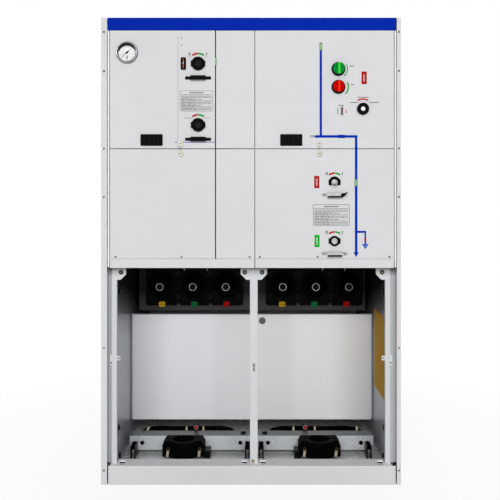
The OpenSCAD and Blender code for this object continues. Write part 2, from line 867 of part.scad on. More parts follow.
module right_bushing_block() {
    bushing_block(centre_x + bushing_offset);
}

module bushing_contacts() {
    color(brass_tone) for (side = [-1, 1]) {
        for (i = [-1 : 1]) {
            x = centre_x + side * bushing_offset + i * phase_pitch;
            difference() {
                rod(x, bushing_up, contact_y, tank_y, contact_r);
                rod(x, bushing_up, contact_y - 1, contact_y + contact_bore_l, contact_bore_r);
            }
        }
    }
}

// Small coloured tags on the lower edge of the bushing blocks.
module phase_tags(i, tone) {
    color(tone) for (side = [-1, 1]) {
        upright(centre_x + side * bushing_offset + i * phase_pitch, tank_y - block_t - tag_t,
            bushing_up - block_half + tag_h / 4, tag_t) round_rect(tag_w, tag_h, tag_r);
    }
}

module yellow_phase_tags() {
    phase_tags(-1, [0.85, 0.66, 0.10]);
}

module green_phase_tags() {
    phase_tags(0, [0.06, 0.42, 0.16]);
}

module red_phase_tags() {
    phase_tags(1, [0.72, 0.06, 0.09]);
}

// Cable compartment

// A cover folded back at the top, bottom and outer edge, with a flange on the inner wall.
module rear_cover(outer_x, inner_x) {
    y = front_y + cover_back;
    s = outer_x < inner_x ? 1 : -1;
    x0 = min(outer_x, inner_x);
    x1 = max(outer_x, inner_x);
    edge = outer_x + s * sheet;
    wall = -s * wall_x;
    box(x0, x1, y, y + sheet, cover_z, cover_top_up);
    box(x0, x1, y, y + cover_return, cover_z, cover_z + sheet);
    box(x0, x1, y, y + cover_return, cover_top_up - sheet, cover_top_up);
    box(min(outer_x, edge), max(outer_x, edge), y, y + cover_return, cover_z, cover_top_up);
    box(min(wall, edge), max(wall, edge), y + cover_return - sheet, y + cover_return, cover_z, cover_top_up);
}

module rear_covers() {
    color(inner_paint) {
        rear_cover(-wall_x + cover_gap, centre_x - seam_gap / 2);
        rear_cover(wall_x - cover_gap, centre_x + seam_gap / 2);
    }
}

// Channel that carries the clamps, open below and notched over its stands.
module cable_rail() {
    top_z = rail_z + rail_h;
    color(galvanised) difference() {
        box(-rail_x, rail_x, rail_y, rail_y + rail_d, rail_z, top_z);
        box(-rail_x - 1, rail_x + 1, rail_y + rail_t, rail_y + rail_d - rail_t,
            rail_z - 1, top_z - rail_t);
        for (s = stands) {
            reach = s[1] / 2 + 1;
            box(s[0] - reach, s[0] + reach, rail_y - 1, rail_y + rail_d + 1,
                rail_z - 1, rail_z + rail_notch);
        }
        for (x = [-rail_hole_at, centre_x - rail_hole_mid, centre_x + rail_hole_mid, rail_hole_at]) {
            upright(x, rail_y - 1, rail_z + rail_h / 2, rail_t + 2)
                round_rect(rail_hole_w, rail_hole_h, rail_hole_h / 2 - hole_fit);
        }
    }
}

module rail_stands() {
    leg_z1 = rail_z + rail_h - rail_t;
    front_leg = rail_y + rail_t;
    rear_leg = rail_y + rail_d - 2 * rail_t;
    color(galvanised) for (s = stands) {
        box(s[0] - s[1] / 2, s[0] + s[1] / 2, front_leg, front_leg + rail_t, floor_t, leg_z1);
        box(s[0] - s[1] / 2, s[0] + s[1] / 2, rear_leg, rear_leg + rail_t, floor_t, leg_z1);
        box(s[0] - s[1] / 2, s[0] + s[1] / 2, front_leg, rear_leg + rail_t, leg_z1 - rail_t, leg_z1);
    }
}

module earth_bar() {
    mid_y = rail_y + rail_d / 2;
    color(brass_tone)
        box(-rail_x, rail_x, mid_y - bar_w / 2, mid_y + bar_w / 2, floor_t, floor_t + bar_t);
}

// Two moulded halves round the cable; the front half bulges between its bolted ears.
module cable_clamp(x) {
    half = clamp_w / 2;
    low = rail_z + rail_h - clamp_h + clamp_rise;
    split = cable_y - clamp_gap / 2;
    color(moulded) difference() {
        intersection() {
            union() {
                box(x - half, x + half, split - clamp_ear_t, split, low, low + clamp_h);
                intersection() {
                    translate([x, cable_y, low])
                        cylinder(r = cable_r + clamp_wall, h = clamp_h, $fn = round_fn);
                    box(x - half, x + half, front_y, split, low, low + clamp_h);
                }
                box(x - half, x + half, cable_y + clamp_gap / 2, rail_y, low, low + clamp_h);
            }
            upright(x, front_y, low, rail_back) polygon([
                [-half, 0],
                [half, 0],
                [half, clamp_h - clamp_cut_h],
                [half - clamp_cut_w, clamp_h],
                [-half + clamp_cut_w, clamp_h],
                [-half, clamp_h - clamp_cut_h]
            ]);
        }
        translate([x, cable_y, low - 1]) cylinder(r = cable_r, h = clamp_h + 2, $fn = round_fn);
    }
}

module left_cable_clamp() {
    cable_clamp(-clamp_x);
}

module right_cable_clamp() {
    cable_clamp(clamp_x);
}

// Flat cast rings behind the rail, for the cables' cores.
module current_transformers() {
    y = rail_y + rail_d + ct_gap + ct_d / 2;
    color(resin) for (side = [-1, 1]) {
        translate([side * clamp_x, y, floor_t]) linear_extrude(ct_h) difference() {
            round_rect(ct_w, ct_d, ct_d / 2 - hole_fit);
            round_rect(ct_w - 2 * ct_wall, ct_d - 2 * ct_wall, ct_d / 2 - ct_wall - hole_fit);
        }
    }
}

// Controls

module gauge_case() {
    inner_r = gauge_r - gauge_rim;
    seat_r = inner_r - gauge_ring;
    color(bright) turned(gauge_at, front_y, gauge_up) polygon([
        [0, -gauge_l],
        [gauge_r - gauge_lip, -gauge_l],
        [gauge_r - gauge_lip, 0],
        [gauge_r, 0],
        [gauge_r, gauge_out - rim_cut],
        [gauge_r - rim_cut, gauge_out],
        [inner_r, gauge_out],
        [inner_r, glass_seat],
        [seat_r, glass_seat],
        [seat_r, dial_seat],
        [0, dial_seat]
    ]);
}

module gauge_dial() {
    dial_r = gauge_r - gauge_rim - gauge_ring - hole_fit;
    color("white") rod(gauge_at, gauge_up, front_y - dial_seat - dial_t, front_y - dial_seat, dial_r);
}

module gauge_glass() {
    seat_y = front_y - glass_seat;
    color([0.85, 0.92, 0.95, 0.35])
        rod(gauge_at, gauge_up, seat_y - glass_t, seat_y, gauge_r - gauge_rim - hole_fit);
}

module left_operating_plate() {
    color(paint) difference() {
        box(left_x1 - plate_w, left_x1, front_y - plate_t, front_y, upper_z0, plate_top_up);
        guide_hole(left_lever_x, left_switch_up, left_guide_r, left_ear);
        guide_hole(left_lever_x, left_earth_up, left_guide_r, left_ear);
        front_window(window_x, left_switch_up, window_w - 2 * window_lip, window_h - 2 * window_lip);
    }
}

// Moulded guide for the end of an operating lever, with ears and a bearing for the shaft.
module lever_guide(x, z, face, r, ear_half, inner_r) {
    end_y = front_y + guide_l;
    difference() {
        union() {
            rod(x, z, face, end_y, r);
            if (ear_half > 0) {
                box(x - ear_half, x + ear_half, face, end_y, z - ear_h / 2, z + ear_h / 2);
            }
        }
        rod(x, z, face - 1, end_y - guide_end, inner_r + guide_bore_r - shaft_r);
        rod(x, z, face - 1, end_y + 1, inner_r + shaft_play);
    }
}

module left_lever_guides() {
    color(moulded) for (z = [left_switch_up, left_earth_up]) {
        lever_guide(left_lever_x, z, front_y - plate_t - guide_proud, left_guide_r, left_ear, shaft_r);
    }
}

module right_lever_guides() {
    color(moulded) {
        for (z = [right_switch_up, right_earth_up]) {
            lever_guide(right_lever_at, z, front_y - flush_proud, right_guide_r, right_ear, shaft_r);
        }
        lever_guide(charge_at, charge_up, front_y - guide_proud, charge_guide_r, 0, charge_shaft_r);
    }
}

module knob_rings() {
    hub_r = knob_ring_r - ring_lip;
    color(moulded) for (z = [close_up, open_up]) {
        turned(knob_at, front_y, z) polygon([
            [stem_r + shaft_play, -guide_l],
            [hub_r, -guide_l],
            [hub_r, 0],
            [knob_ring_r, 0],
            [knob_ring_r, ring_out - knob_cut],
            [knob_ring_r - knob_cut, ring_out],
            [stem_r + shaft_play, ring_out]
        ]);
    }
}

// A strap with two ears on the panel and a raised middle for a padlock's shackle.
module padlock_strap(x, z, face) {
    bridge = strap_bridge_w / 2;
    top = face - strap_gap - strap_t;
    for (s = [-1, 1]) {
        translate([x + s * (strap_w / 2 + bridge) / 2, face - strap_t / 2, z])
            cube([(strap_w / 2 - bridge), strap_t, strap_ear_h], center = true);
        translate([x + s * (bridge - strap_t / 2), (face + top) / 2, z])
            cube([strap_t, strap_gap + strap_t, strap_h], center = true);
    }
    box(x - bridge, x + bridge, top, top + strap_t, z - strap_h / 2, z + strap_h / 2);
}

module left_padlock_straps() {
    color(moulded) for (z = [left_switch_up, left_earth_up]) {
        padlock_strap(left_lever_x, z - left_strap_drop, front_y - plate_t);
    }
}

module right_padlock_straps() {
    color(bright) for (z = [right_switch_up, right_earth_up]) {
        padlock_strap(right_lever_at, z - right_strap_drop, front_y);
    }
}

// A framed window: a proud frame, a body through the panel and a recessed face.
module window_box(x, z, face, w, h, lip) {
    body_w = w / 2 - lip - hole_fit;
    body_h = h / 2 - lip - hole_fit;
    recess_w = w / 2 - lip - recess_step;
    recess_h = h / 2 - lip - recess_step;
    difference() {
        union() {
            upright(x, face - frame_out, z, frame_out) round_rect(w, h, frame_r);
            box(x - body_w, x + body_w, face - 1, front_y + window_l, z - body_h, z + body_h);
        }
        box(x - recess_w, x + recess_w, face - frame_out - 1, face - frame_out + frame_recess,
            z - recess_h, z + recess_h);
    }
}

module voltage_indicators() {
    color(moulded) {
        window_box(left_indicator_x, indicator_up, front_y, indicator_w, indicator_h, indicator_lip);
        window_box(right_indicator_at, indicator_up, front_y, indicator_w, indicator_h, indicator_lip);
    }
}

module position_windows() {
    color(moulded) {
        window_box(window_x, left_switch_up, front_y - plate_t, window_w, window_h, window_lip);
        window_box(spring_at, spring_up, front_y, spring_w, spring_h, spring_lip);
    }
}

// Slotted posts that a seal wire joins across the panel seam.
module seal_post(x, z, face) {
    difference() {
        turned(x, face, z) polygon([
            [0, 0],
            [seal_r, 0],
            [seal_r, seal_out - seal_cut],
            [seal_r - seal_cut, seal_out],
            [0, seal_out]
        ]);
        box(x - seal_r, x + seal_r, face - seal_out - 1, face - seal_out + seal_slot_d,
            z - seal_slot_w / 2, z + seal_slot_w / 2);
    }
}

module seal_posts() {
    color(ivory) {
        seal_post(left_seal_x, seam_up + seal_offset, front_y - plate_t);
        seal_post(left_seal_x, seam_up - seal_offset, front_y);
        seal_post(right_seal_at, seam_up + seal_offset, front_y);
        seal_post(right_seal_at, seam_up - seal_offset, front_y);
    }
}

// Moving pieces

// A turning knob with a grip bar across its face and a stem into the drive unit.
module knob(z, tone) {
    disc_top = knob_out - grip_out;
    color(tone) {
        turned(knob_at, front_y, z) polygon([
            [0, ring_out + knob_gap],
            [knob_r, ring_out + knob_gap],
            [knob_r, disc_top - knob_cut],
            [knob_r - knob_cut, disc_top],
            [0, disc_top]
        ]);
        intersection() {
            box(knob_at - grip_w / 2, knob_at + grip_w / 2, front_y - knob_out, front_y - disc_top + 1,
                z - knob_r, z + knob_r);
            rod(knob_at, z, front_y - knob_out, front_y - disc_top + 1, knob_r - knob_cut);
        }
        rod(knob_at, z, front_y - ring_out - knob_gap - 1, drive_y + drive_bore_l - bore_end_gap, stem_r);
    }
}

module close_knob() {
    knob(close_up, [0.05, 0.62, 0.22]);
}

module open_knob() {
    knob(open_up, [0.80, 0.05, 0.05]);
}

// A shaft with a cross pin that a lever takes hold of, centre-drilled in its end.
module lever_shaft(x, z, face, r, reach) {
    pin_y = front_y + pin_back;
    difference() {
        union() {
            rod(x, z, face, drive_y + drive_bore_l - bore_end_gap, r);
            translate([x - reach, pin_y, z]) rotate([0, 90, 0])
                cylinder(r = pin_r, h = 2 * reach, $fn = corner_fn);
        }
        rod(x, z, face - 1, face + centre_l, centre_r);
    }
}

module left_switch_shaft() {
    face_y = front_y - plate_t - guide_proud + shaft_sunk;
    color(moulded) lever_shaft(left_lever_x, left_switch_up, face_y, shaft_r, pin_reach);
}

module left_earth_shaft() {
    face_y = front_y - plate_t - guide_proud + shaft_sunk;
    color(moulded) lever_shaft(left_lever_x, left_earth_up, face_y, shaft_r, pin_reach);
}

module right_switch_shaft() {
    color(bright) lever_shaft(right_lever_at, right_switch_up, front_y, shaft_r, pin_reach);
}

module right_earth_shaft() {
    color(bright) lever_shaft(right_lever_at, right_earth_up, front_y, shaft_r, pin_reach);
}

module charging_shaft() {
    face_y = front_y - guide_proud + shaft_sunk;
    reach = charge_shaft_r + guide_bore_r - shaft_r - pin_clear;
    color(bright) lever_shaft(charge_at, charge_up, face_y, charge_shaft_r, reach);
}

left_side_panel();
right_side_panel();
rear_panel();
roof_panel();
floor_plate();
plinth_front();
left_inner_wall();
right_inner_wall();
left_post();
centre_post();
right_post();
top_fascia();
left_upper_panel();
left_lower_panel();
left_fillers();
right_upper_panel();
right_lower_panel();
panel_sills();
compartment_ceiling();
gas_tank();
drive_units();
left_bushing_block();
right_bushing_block();
bushing_contacts();
yellow_phase_tags();
green_phase_tags();
red_phase_tags();
rear_covers();
cable_rail();
rail_stands();
earth_bar();
left_cable_clamp();
right_cable_clamp();
current_transformers();
gauge_case();
gauge_dial();
gauge_glass();
left_operating_plate();
left_lever_guides();
right_lever_guides();
knob_rings();
left_padlock_straps();
right_padlock_straps();
voltage_indicators();
seal_posts();
position_windows();
close_knob();
open_knob();
left_switch_shaft();
left_earth_shaft();
right_switch_shaft();
right_earth_shaft();
charging_shaft();
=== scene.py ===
import bpy
import json
import math
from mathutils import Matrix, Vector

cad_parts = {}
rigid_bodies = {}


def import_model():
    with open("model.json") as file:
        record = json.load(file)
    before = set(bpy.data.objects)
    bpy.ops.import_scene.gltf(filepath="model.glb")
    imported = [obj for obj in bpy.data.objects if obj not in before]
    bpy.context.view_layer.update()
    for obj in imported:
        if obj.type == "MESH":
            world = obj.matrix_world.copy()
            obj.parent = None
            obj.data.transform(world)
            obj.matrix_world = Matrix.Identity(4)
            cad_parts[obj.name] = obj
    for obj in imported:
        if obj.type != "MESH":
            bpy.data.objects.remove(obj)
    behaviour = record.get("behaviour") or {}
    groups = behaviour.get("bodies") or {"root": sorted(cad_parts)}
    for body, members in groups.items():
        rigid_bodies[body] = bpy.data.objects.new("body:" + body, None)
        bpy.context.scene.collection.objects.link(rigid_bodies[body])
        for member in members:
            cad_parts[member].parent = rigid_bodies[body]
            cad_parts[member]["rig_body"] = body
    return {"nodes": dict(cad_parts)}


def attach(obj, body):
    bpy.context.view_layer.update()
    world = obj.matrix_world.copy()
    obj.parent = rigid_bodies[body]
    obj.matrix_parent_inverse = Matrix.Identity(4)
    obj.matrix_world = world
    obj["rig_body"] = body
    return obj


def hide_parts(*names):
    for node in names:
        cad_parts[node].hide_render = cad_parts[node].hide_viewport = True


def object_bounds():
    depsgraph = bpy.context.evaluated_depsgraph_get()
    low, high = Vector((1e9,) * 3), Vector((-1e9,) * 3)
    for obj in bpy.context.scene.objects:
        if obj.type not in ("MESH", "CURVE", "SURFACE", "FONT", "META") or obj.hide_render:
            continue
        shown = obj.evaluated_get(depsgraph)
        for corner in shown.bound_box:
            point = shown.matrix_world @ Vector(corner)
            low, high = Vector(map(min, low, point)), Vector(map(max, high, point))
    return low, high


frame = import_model()
nodes = frame["nodes"]
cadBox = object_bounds()
print("frame loaded with", len(nodes), "nodes")


class Signal:  # a socket in a node tree, so that shader sums read as sums
    def __init__(self, tree, socket=None):
        self.tree = tree
        self.socket = socket

    def node(self, kind, settings=None, sockets=None, out=0):
        made = self.tree.nodes.new(kind)
        for key, value in (settings or {}).items():
            if key == "stops":
                ramp = made.color_ramp.elements
                ramp[0].position, ramp[0].color = value[0]
                ramp[1].position, ramp[1].color = value[-1]
                for place, tone in value[1:-1]:
                    ramp.new(place).color = tone
            else:
                setattr(made, key, value)
        for key, value in (sockets or {}).items():
            if isinstance(value, Signal):
                self.tree.links.new(value.socket, made.inputs[key])
            else:
                made.inputs[key].default_value = value
        return Signal(self.tree, made.outputs[out])

    def maths(self, operation, first, second=0.0):
        return self.node("ShaderNodeMath", {"operation": operation}, {0: first, 1: second})

    def __add__(self, other):
        return self.maths("ADD", self, other)

    def __sub__(self, other):
        return self.maths("SUBTRACT", self, other)

    def __rsub__(self, other):
        return self.maths("SUBTRACT", other, self)

    def __mul__(self, other):
        return self.maths("MULTIPLY", self, other)

    def __gt__(self, other):
        return self.maths("GREATER_THAN", self, other)

    def __lt__(self, other):
        return self.maths("LESS_THAN", self, other)

    __radd__ = __add__
    __rmul__ = __mul__


def newFinish(name, **fixed):
    material = bpy.data.materials.new(name)
    material.use_nodes = True
    shader = material.node_tree.nodes["Principled BSDF"]
    for socket, value in fixed.items():
        shader.inputs[socket.replace("_", " ")].default_value = value
    start = Signal(material.node_tree)
    place = start.node("ShaderNodeTexCoord", out="Object")
    return material, shader, place


def feed(shader, socket, signal):
    signal.tree.links.new(signal.socket, shader.inputs[socket])


def noise(place, scale, detail=2.0, rough=0.5):
    sockets = {"Vector": place, "Scale": scale, "Detail": detail, "Roughness": rough}
    return place.node("ShaderNodeTexNoise", None, sockets)


def stretched(place, scale):
    return place.node("ShaderNodeMapping", None, {"Vector": place, "Scale": scale})


def axisOf(place, axis):  # 0, 1 and 2 are X, Y and Z
    return place.node("ShaderNodeSeparateXYZ", None, {0: place}, axis)


def blendTone(mask, dark, light):
    return mask.node("ShaderNodeMix", {"data_type": "RGBA"}, {0: mask, 6: (*dark, 1), 7: (*light, 1)}, 2)


def layTone(mask, colour, tone):  # a plain tone over a colour, where the mask is 1
    return mask.node("ShaderNodeMix", {"data_type": "RGBA"}, {0: mask, 6: colour, 7: (*tone, 1)}, 2)


def ramp(signal, low, high):  # 0 below low, 1 above high
    return signal.node("ShaderNodeMapRange", {"clamp": True}, {"Value": signal, "From Min": low, "From Max": high})


def bump(height, strength, depth):
    return height.node("ShaderNodeBump", None, {"Height": height, "Strength": strength, "Distance": depth})


def shade(tone, factor):
    return tuple(min(1.0, channel * factor) for channel in tone)


# sprayed and baked coat: a fine orange peel, faint clouds and wiped streaks
# strip paints light and shade in a band: an axis, the limits along it and a factor on the tone between them
def powderCoat(name, tone, roughness=0.5, peel=0.12, specular=0.22, strip=None):
    material, shader, place = newFinish(name, Specular_IOR_Level=specular)
    clouds = noise(place, 3.5, 4.0)
    wipes = noise(stretched(place, (4.0, 4.0, 22.0)), 2.0, 3.0)
    colour = blendTone(ramp(clouds * 0.7 + wipes * 0.3, 0.3, 0.7), shade(tone, 0.965), shade(tone, 1.02))
    if strip:
        axis, low, high, factor = strip
        along = axisOf(place, axis)
        colour = layTone((along > low) * (along < high), colour, shade(tone, factor))
    feed(shader, "Base Color", colour)
    feed(shader, "Roughness", roughness - 0.06 + 0.12 * wipes)
    feed(shader, "Normal", bump(noise(place, 620.0, 2.0), peel, 0.0003))
    return material


# the posts' coat: painted shade under the sill and on the leaves beside the walls, near white above the sill
postShading = {"sill": 0.6225, "rise": (0.596, 0.624), "leaf": (0.4015, 0.4035), "factor": 0.16,
            "paleAbove": (0.97, 0.97, 0.97)}


def postCoat(name, tone, sill, rise, leaf, factor, paleAbove):
    material, shader, place = newFinish(name, Specular_IOR_Level=0.22)
    across = place.maths("ABSOLUTE", axisOf(place, 0))
    up = axisOf(place, 2)
    clouds = noise(place, 9.0, 4.0)
    # painted shade: darker towards the sill and on the outer leaves beside the walls
    shadeMask = 0.8 * ramp(up + 0.006 * clouds, *rise) + 0.3 * ramp(across, *leaf)
    colour = blendTone(shadeMask * (up < sill) + 0.05 * clouds, tone, shade(tone, factor))
    feed(shader, "Base Color", layTone((up > sill) * (0.9 + 0.1 * clouds), colour, paleAbove))
    feed(shader, "Roughness", 0.46 + 0.1 * clouds)
    feed(shader, "Normal", bump(noise(place, 620.0, 2.0), 0.1, 0.0003))
    return material


# hot-dip zinc: spangle cells that differ a little in tone and gloss, with dull runs
# painted shade, where given: two heights, a factor on the tone above them, and how much lower it starts per metre of
# depth
def zincSheet(name, tone, spangle, metal, roughness, paintedShade=None):
    material, shader, place = newFinish(name)
    cells = place.node("ShaderNodeTexVoronoi", None, {"Vector": place, "Scale": spangle}, "Color")
    grain = cells.node("ShaderNodeSeparateColor", None, {"Color": cells}, 0)
    runs = noise(stretched(place, (9.0, 9.0, 1.6)), 1.5, 4.0, 0.6)
    colour = blendTone(ramp(grain * 0.2 + runs * 0.8, 0.2, 0.8), shade(tone, 0.92), shade(tone, 1.05))
    if paintedShade:
        low, high, factor, slope = paintedShade
        depth = axisOf(place, 1) + 0.3
        up = axisOf(place, 2) + slope * depth
        colour = layTone(ramp(up + 0.2 * (high - low) * runs, low, high), colour, shade(tone, factor))
    feed(shader, "Base Color", colour)
    feed(shader, "Metallic", metal - 0.05 + 0.1 * grain)
    feed(shader, "Roughness", roughness - 0.03 + 0.08 * runs + 0.03 * grain)
    feed(shader, "Normal", bump(noise(place, 120.0, 2.0), 0.012, 0.0003))
    return material


# moulded or cast plastic: fine grain, rubbed patches that shine more
def moulding(name, tone, roughness=0.4, grain=900.0, depth=0.12, specular=0.5):
    material, shader, place = newFinish(name, Specular_IOR_Level=specular)
    rubs = noise(place, 18.0, 4.0)
    feed(shader, "Base Color", blendTone(ramp(rubs, 0.35, 0.7), shade(tone, 0.86), shade(tone, 1.12)))
    feed(shader, "Roughness", roughness + 0.08 - 0.16 * ramp(rubs, 0.4, 0.65))
    feed(shader, "Normal", bump(noise(place, grain, 2.0), depth, 0.0002))
    return material


# turned or plated metal: drawn lines across Z and cloudy gloss
def plated(name, tone, roughness=0.25, lines=0.1):
    material, shader, place = newFinish(name, Metallic=1.0)
    clouds = noise(place, 90.0, 3.0)
    drawn = noise(stretched(place, (160.0, 160.0, 2600.0)), 1.0, 2.0)
    feed(shader, "Base Color", blendTone(ramp(clouds, 0.3, 0.7), shade(tone, 0.82), shade(tone, 1.06)))
    feed(shader, "Roughness", roughness - 0.05 + 0.12 * clouds)
    feed(shader, "Normal", bump(drawn, lines, 0.0001))
    return material


# screen-printed ink or coloured film on the panels
def ink(name, tone, roughness=0.45):
    material, shader, place = newFinish(name, Specular_IOR_Level=0.04)
    film = noise(place, 160.0, 3.0)
    feed(shader, "Base Color", blendTone(ramp(film, 0.35, 0.65), shade(tone, 0.92), shade(tone, 1.06)))
    feed(shader, "Roughness", roughness - 0.05 + 0.1 * film)
    return material


# a knob's moulding about its middle in X and Z: a painted highlight as a paler line along the front of the grip, and a
# black skirt
grip = {"line": (0.0014, 0.0042), "front": -0.4362, "skirt": (0.0160, 0.0163), "black": (0.004, 0.004, 0.004)}


def gripped(name, tone, lit, middle):
    material, shader, place = newFinish(name, Specular_IOR_Level=0.03)
    across = axisOf(place, 0) - middle[0]
    up = axisOf(place, 2) - middle[1]
    rubs = noise(place, 60.0, 3.0)
    # painted highlight: a paler line down the front of the grip
    line = 1 - ramp(place.maths("ABSOLUTE", across), *grip["line"])
    colour = blendTone(line * (axisOf(place, 1) < grip["front"]) * (0.8 + 0.3 * rubs), tone, lit)
    skirt = ramp(place.maths("SQRT", across * across + up * up), *grip["skirt"])
    feed(shader, "Base Color", layTone(skirt, colour, grip["black"]))
    feed(shader, "Roughness", 0.26 + 0.12 * rubs)
    feed(shader, "Normal", bump(noise(place, 700.0, 2.0), 0.06, 0.0002))
    return material


# black window frames; the one on the right unit has a pale edge
def framePlastic(name, tone, pale):
    material, shader, place = newFinish(name, Specular_IOR_Level=0.1)
    right = axisOf(place, 0) > 0.0
    grain = noise(place, 300.0, 3.0)
    feed(shader, "Base Color", blendTone(right * (0.9 + 0.2 * grain), tone, pale))
    feed(shader, "Roughness", 0.3 + 0.1 * grain)
    return material


def clearGlass(name):
    material, shader, place = newFinish(name, IOR=1.45, Roughness=0.03)
    smear = noise(place, 60.0, 3.0)
    feed(shader, "Base Color", blendTone(smear, (0.80, 0.86, 0.88), (0.88, 0.92, 0.93)))
    feed(shader, "Alpha", 0.004 + 0.014 * smear)
    return material


panelTone = (0.70, 0.70, 0.715)
cabinetPaint = powderCoat("cabinetPaint", panelTone)
platePaint = powderCoat("platePaint", panelTone, strip=(0, -1.0, -0.2083, 0.2))  # a painted shadow line along the left edge
plinthPaint = powderCoat("plinthPaint", panelTone, strip=(2, 0.0535, 1.0, 1.38))  # a paler top: painted light on the upward face
postPaint = postCoat("postPaint", (0.68, 0.695, 0.71), **postShading)
innerPaint = powderCoat("innerPaint", (0.835, 0.84, 0.865), 0.46, 0.08)
bandPaint = powderCoat("bandPaint", (0.001, 0.022, 0.38), 0.4, 0.06, 0.05)
# painted shade from the last tuple: the walls darken towards the top, sooner further back; the rail's finish darkens
# above 61 mm; the tank darkens above 0.44 m
wallZinc = zincSheet("wallZinc", (0.53, 0.565, 0.595), 60.0, 0.5, 0.32, (0.43, 0.60, 0.05, 0.25))
railZinc = zincSheet("railZinc", (0.80, 0.84, 0.87), 60.0, 0.35, 0.26, (0.0600, 0.0610, 0.13, 0.0))
floorZinc = zincSheet("floorZinc", (0.90, 0.92, 0.93), 60.0, 0.25, 0.26)
tankSteel = zincSheet("tankSteel", (0.115, 0.110, 0.106), 8.0, 0.4, 0.4, (0.440, 0.500, 0.10, 0.0))
castResin = moulding("castResin", (0.0015, 0.0015, 0.0016), 0.42, 260.0, 0.18, 0.07)
mouldedBlack = moulding("mouldedBlack", (0.002, 0.002, 0.0022), 0.3, specular=0.1)
capBlack = moulding("capBlack", (0.009, 0.009, 0.0095), 0.3, specular=0.2)
clampRubber = moulding("clampRubber", (0.0022, 0.0022, 0.0024), 0.6, 400.0, 0.15, 0.03)
ivoryPlastic = moulding("ivoryPlastic", (0.78, 0.75, 0.67), 0.38)
yellowTag = moulding("yellowTag", (0.84, 0.50, 0.008), 0.4, specular=0.12)
greenTag = moulding("greenTag", (0.002, 0.22, 0.055), 0.4, specular=0.12)
redTag = moulding("redTag", (0.60, 0.004, 0.012), 0.4, specular=0.12)
# the second tones are the painted highlights on the grips
greenKnob = gripped("greenKnob", (0.001, 0.25, 0.040), (0.06, 0.74, 0.03), (0.250, 1.189))
redKnob = gripped("redKnob", (0.54, 0.0, 0.0), (0.95, 0.03, 0.006), (0.250, 1.138))
windowFrame = framePlastic("windowFrame", (0.002, 0.002, 0.0022), (0.62, 0.62, 0.62))
contactMetal = plated("contactMetal", (0.86, 0.80, 0.72), 0.24)
brass = plated("brass", (0.72, 0.58, 0.32), 0.28)
darkBrass = plated("darkBrass", (0.16, 0.125, 0.075), 0.34)
paleBrass = moulding("paleBrass", (0.66, 0.58, 0.42), 0.3)
brightSteel = plated("brightSteel", (0.90, 0.90, 0.90), 0.2, 0.1)
darkSteel = plated("darkSteel", (0.10, 0.10, 0.105), 0.34, 0.2)
screwZinc = plated("screwZinc", (0.38, 0.38, 0.375), 0.32)
blackBolt = plated("blackBolt", (0.035, 0.035, 0.038), 0.42)
chrome = plated("chrome", (0.86, 0.87, 0.88), 0.08, 0.03)
capGrey = moulding("capGrey", (0.15, 0.15, 0.145), 0.45)
tinnedBar = plated("tinnedBar", (0.50, 0.49, 0.46), 0.16, 0.1)
dialWhite = ink("dialWhite", (0.90, 0.905, 0.90), 0.5)
paleGreen = ink("paleGreen", (0.30, 0.46, 0.25))
paleGrey = ink("paleGrey", (0.22, 0.22, 0.225))
mimicBlue = ink("mimicBlue", (0.001, 0.024, 0.40))
paleBlue = ink("paleBlue", (0.075, 0.15, 0.54))
inkGreen = ink("inkGreen", (0.008, 0.36, 0.035))
plateGreen = ink("plateGreen", (0.004, 0.42, 0.018))
inkRed = ink("inkRed", (0.52, 0.005, 0.006))
plateRed = ink("plateRed", (0.40, 0.003, 0.004))
inkBlack = ink("inkBlack", (0.012, 0.012, 0.013))
inkGrey = ink("inkGrey", (0.11, 0.11, 0.115))
flagOrange = ink("flagOrange", (0.60, 0.14, 0.014))
flagRed = ink("flagRed", (0.14, 0.003, 0.005))
amberSheet = ink("amberSheet", (0.66, 0.34, 0.002), 0.5)
labelFilm = ink("labelFilm", (0.78, 0.78, 0.78), 0.35)
gaugeGlass = clearGlass("gaugeGlass")
print("finishes made")

# the photograph's camera: level, near the middle of the front, with its lens shifted down
view = {"place": (0.0172, -2.613, 0.8145), "lens": 55.4, "shiftX": -0.014, "shiftY": -0.1}
lamps = {
    "key": {"place": (0.02, -7.6, 3.3), "aim": (0.0, -0.4, 0.7), "size": 2.2, "power": 341.0, "wide": 5.2},
    "low": {"place": (0.02, -7.6, 0.7), "aim": (0.0, -0.4, 0.4), "size": 2.0, "power": 112.0, "wide": 5.2},
    "left": {"place": (-4.6, 0.9, 2.2), "aim": (-0.4, 0.0, 0.7), "size": 2.6, "power": 110.0},
    "right": {"place": (4.6, 0.9, 2.2), "aim": (0.4, 0.0, 0.7), "size": 2.6, "power": 110.0},
    "rear": {"place": (0.4, 5.0, 2.8), "aim": (0.0, 0.4, 0.7), "size": 2.6, "power": 160.0},
}
# the floor is white to the camera but keeps a shadow round the foot; inside the foot it stays plain
surround = {"light": 0.18, "dimSide": 0.1, "screen": 0.72, "floorTone": 0.6, "floorSize": 60.0,
            "shadowMix": 0.9, "shadowReach": (0.6, 1.3), "inset": 0.004, "frontInset": 0.03}


def addCamera():
    bpy.ops.object.camera_add(location=view["place"], rotation=(math.pi / 2, 0, 0))
    camera = bpy.context.object
    camera.name = "frontCamera"
    camera.data.lens = view["lens"]
    camera.data.shift_x = view["shiftX"]
    camera.data.shift_y = view["shiftY"]
    bpy.context.scene.camera = camera


def addLamp(name, place, aim, size, power, wide=0.0):
    bpy.ops.object.light_add(type="AREA", location=place)
    lamp = bpy.context.object
    lamp.name = name + "Lamp"
    lamp.data.shape = "RECTANGLE"
    lamp.data.size = wide or size
    lamp.data.size_y = size
    lamp.data.energy = power
    reach = [a - p for a, p in zip(aim, place)]
    turn = math.atan2(reach[0], -reach[1])
    tilt = math.atan2(math.hypot(reach[0], reach[1]), -reach[2])
    lamp.rotation_euler = (tilt, 0, turn + math.pi)
    lamp.visible_glossy = not wide  # the front stays free of one big hot spot


